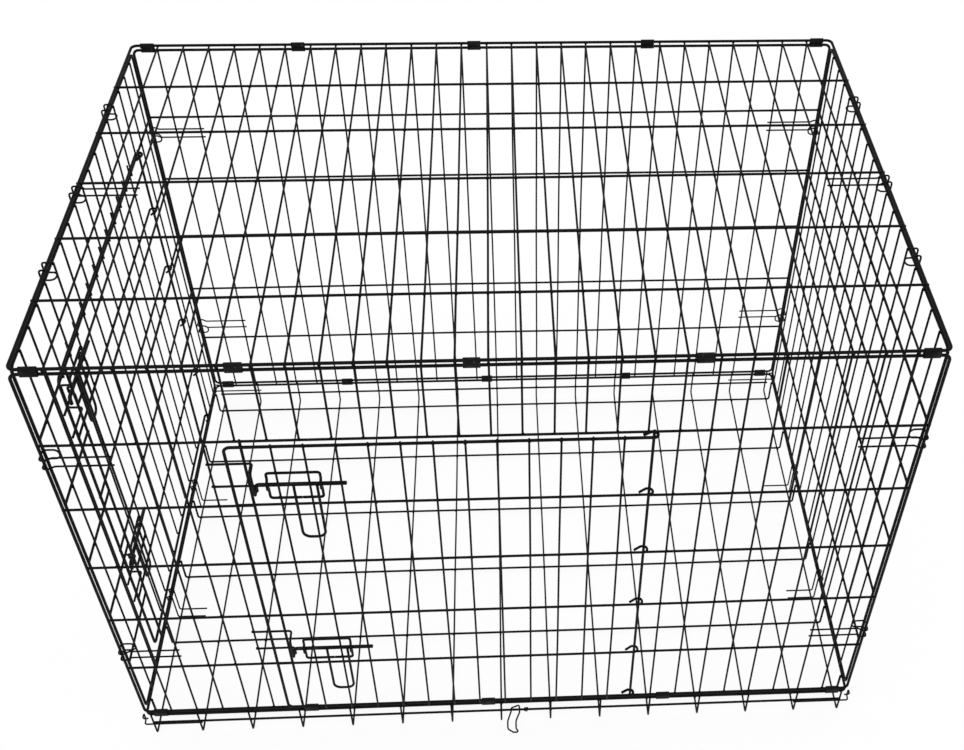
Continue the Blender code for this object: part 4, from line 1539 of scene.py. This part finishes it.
@dataclass(kw_only=True)
class PanStop(Piece):
    """Closed wire loop that turns on the front mid-lip wire, with its toe on the ground."""

    finish: Finish = HOOK_COAT
    left: float = 0.5486
    width: float = 0.0127
    reach: float = 0.0250
    toe: float = 0.0060
    toe_bend: float = 0.0022
    knee: float = 0.0120
    knee_bend: float = 0.0140
    knee_share: float = 0.6
    lean: float = 0.0058
    return_left: float = 0.0085
    return_right: float = 0.0050
    tip: float = 0.0062
    leg_rise: float = 0.5
    leg_out: float = 0.9
    turn_in: float = 0.3
    turn_bend: float = 0.8

    @property
    def around(self) -> float:
        """Distance of the loop's centre line from the lip wire's."""
        return Gauge.ROW.radius + PLAY + Gauge.HOOK.radius

    def leg(self, place: float, back: float) -> list[Corner]:
        """Corners of one bowed leg.

        Args:
            place: Its place along the front.
            back: How far the toe comes back from the leg's bow.

        Returns:
            Corners from just over the lip wire to the toe.
        """
        ground = Gauge.HOOK.radius + PLAY
        foot = self.reach - self.toe
        bow = place - self.lean
        return FRONT_SIDE.route(
            (place, MID_LIP + self.around * self.leg_rise, self.around * self.leg_out, self.around),
            (bow, self.knee, foot * self.knee_share, self.knee_bend),
            (bow, ground, foot, BEND_RADIUS),
            (bow + back, ground, self.reach, self.toe_bend),
        )

    def lay(self) -> None:
        """Add the loop, whose left leg goes over the lip wire and whose right leg goes under it."""
        around = self.around
        right = self.left + self.width
        over = MID_LIP + around
        under = MID_LIP - around
        corners = self.leg(self.left, self.return_left)
        corners.extend(reversed(self.leg(right, self.return_right)[1:]))
        corners.extend(FRONT_SIDE.route(
            (right, under, around * self.leg_out, around * self.turn_bend),
            (right, under, -around, around),
            (right, over, -self.tip, around),
            (self.left, over, -around * self.turn_in, around * self.turn_bend),
        ))
        self.made.wire(Gauge.HOOK, corners, closed=True)


@dataclass(frozen=True)
class Lamp:
    """Square soft lamp that looks at the middle of the crate."""

    name: str
    place: tuple[float, float, float]
    size: float
    power: float

    def hang(self) -> None:
        """Add the lamp."""
        lamp = bpy.data.lights.new(self.name, "AREA")
        lamp.size = self.size
        lamp.energy = self.power
        holder = bpy.data.objects.new(self.name, lamp)
        holder.location = self.place
        look = Vector((0, 0, HEIGHT / 2)) - Vector(self.place)
        holder.rotation_euler = look.to_track_quat("-Z", "Y").to_euler()
        bpy.context.scene.collection.objects.link(holder)


@dataclass
class Studio:
    """Pale floor, white surround, soft lamps and the camera."""

    camera_place: tuple[float, float, float] = (0.02186, -1.40201, 1.73428)
    turn: float = math.radians(4.1158)
    tilt: float = math.radians(-44.7439)
    roll: float = math.radians(1.6176)
    focal_pixels: float = 1261.14
    centre: tuple[float, float] = (573.03, 400.35)
    picture: tuple[int, int] = (964, 750)
    sensor: float = 36.0
    floor_size: float = 30.0
    floor_drop: float = 0.0002
    floor_paint: Colour = (0.92, 0.92, 0.92, 1.0)
    shadow_share: float = 0.12
    surround_light: float = 1.0
    lamps: tuple[Lamp, ...] = (
        Lamp("key", (-1.6, -2.0, 3.2), 2.6, 24.0),
        Lamp("fill", (2.2, 1.4, 3.0), 2.6, 12.0),
    )

    def seen(self, bench: Bench) -> Signal:
        """Whether a ray comes from the camera or a reflection.

        Args:
            bench: The bench on the material's or the world's tree.

        Returns:
            1 where it does, and else 0.
        """
        rays = bench.node("ShaderNodeLightPath")
        sight = rays.of("Is Camera Ray") + rays.of("Is Glossy Ray") + rays.of("Is Transmission Ray")
        return bench.node("ShaderNodeClamp", None, {"Value": sight})

    def floor(self) -> None:
        """Make the floor, which looks white and keeps a faint shadow."""
        half = self.floor_size / 2
        plane = bmesh.new()
        corners = [(-half, -half), (half, -half), (half, half), (-half, half)]
        plane.faces.new([plane.verts.new((x, y, -self.floor_drop)) for x, y in corners])
        floor = Shop.shape("studio_floor", plane)
        bpy.context.scene.collection.objects.link(floor)
        paint = bpy.data.materials.new("studio_white")
        paint.use_nodes = True
        paint.node_tree.nodes.clear()
        bench = Bench(paint.node_tree)
        lit = bench.node("ShaderNodeBsdfDiffuse", None, {"Color": self.floor_paint})
        white = bench.node("ShaderNodeEmission", None, {"Color": WHITE, "Strength": 1.0})
        share = self.seen(bench) * (1 - self.shadow_share)
        mixed = bench.node("ShaderNodeMixShader", None, {0: share, 1: lit, 2: white})
        bench.node("ShaderNodeOutputMaterial", None, {"Surface": mixed})
        floor.data.materials.append(paint)

    def surround(self) -> None:
        """Make the world: white where it is seen, and a plain light elsewhere."""
        world = bpy.data.worlds.new("surround")
        world.use_nodes = True
        world.node_tree.nodes.clear()
        bench = Bench(world.node_tree)
        seen = self.seen(bench)
        strength = seen + (1 - seen) * self.surround_light
        light = bench.node("ShaderNodeBackground", None, {"Color": WHITE, "Strength": strength})
        bench.node("ShaderNodeOutputWorld", None, {"Surface": light})
        bpy.context.scene.world = world

    def camera(self) -> None:
        """Set the camera where the photograph was taken from."""
        level = math.cos(self.tilt)
        ahead = Vector((math.sin(self.turn) * level, math.cos(self.turn) * level, math.sin(self.tilt)))
        right = ahead.cross(Z).normalized()
        above = right.cross(ahead)
        cos = math.cos(self.roll)
        sin = math.sin(self.roll)
        lens = bpy.data.cameras.new("camera")
        width, height = self.picture
        lens.sensor_fit = "HORIZONTAL"
        lens.sensor_width = self.sensor
        lens.lens = self.sensor * self.focal_pixels / width
        lens.shift_x = (width / 2 - self.centre[0]) / width
        lens.shift_y = (self.centre[1] - height / 2) / width
        holder = bpy.data.objects.new("camera", lens)
        axes = Matrix((right * cos + above * sin, above * cos - right * sin, -ahead)).transposed()
        holder.matrix_world = Matrix.Translation(self.camera_place) @ axes.to_4x4()
        bpy.context.scene.collection.objects.link(holder)
        bpy.context.scene.camera = holder

    def build(self) -> None:
        """Make the studio."""
        self.floor()
        self.surround()
        for lamp in self.lamps:
            lamp.hang()
        self.camera()
        bpy.context.scene.view_settings.view_transform = "Standard"


def pieces() -> list[Piece]:
    """The crate's pieces.

    Returns:
        The pieces with their sizes, in the order in which they are built.
    """
    end = {"span": DEPTH, "margin": END_MARGIN, "pitch": END_COLUMN_PITCH}
    top = {"foot": 0.0, "head": DEPTH, "row_overhang": 0.003}
    crate: list[Piece] = [
        MeshPanel(name="top_panel_wires", nodes=["top_panel"], side=TOP_SIDE, **top),
        DoorPanel(name="front_panel_wires", nodes=["front_panel"], side=FRONT_SIDE, fit=FRONT_FIT),
        MeshPanel(name="back_panel_wires", nodes=["back_panel"], side=BACK_SIDE),
        DoorPanel(
            name="left_end_wires", nodes=["left_end_panel"], body="left_end", side=LEFT_SIDE,
            fit=END_FIT, **end,
        ),
        MeshPanel(
            name="right_end_wires", nodes=["right_end_panel"], body="right_end", side=RIGHT_SIDE, **end
        ),
        FloorBasket(name="floor_basket_wires", nodes=["floor_basket"]),
    ]
    doors = (
        ("front", FRONT_SIDE, FRONT_FIT, "front_door", COLUMN_PITCH),
        ("end", LEFT_SIDE, END_FIT, "left_end_door", END_COLUMN_PITCH),
    )
    for where, side, fit, node, pitch in doors:
        name = f"{where}_door"
        crate.append(
            Door(name=f"{name}_wires", nodes=[node], body=name, side=side, fit=fit, pitch=pitch)
        )
    for where, side, fit, *_ in doors:
        for level, height in zip(("upper", "lower"), fit.bolt_heights()):
            bolt = f"{where}_{level}_bolt"
            place = {"side": side, "latch_rod": fit.latch_rod, "height": height}
            crate.append(SlideBolt(name=f"{bolt}_bar", nodes=[bolt], body=bolt, **place))
    stop = PanStop(name="pan_stop_wire", nodes=["pan_stop"], body="pan_stop")
    return [*crate, HingeClips(), CornerHooks(), TopHooks(), HingeRings(), FloorEyes(), stop]


def main() -> None:
    """Build the studio and every piece of the crate in order."""
    logging.basicConfig(level=logging.INFO, format="%(name)s: %(message)s")
    Studio().build()
    shop = Shop.open()
    for piece in pieces():
        piece.build(shop)


if __name__ == "__main__":
    main()
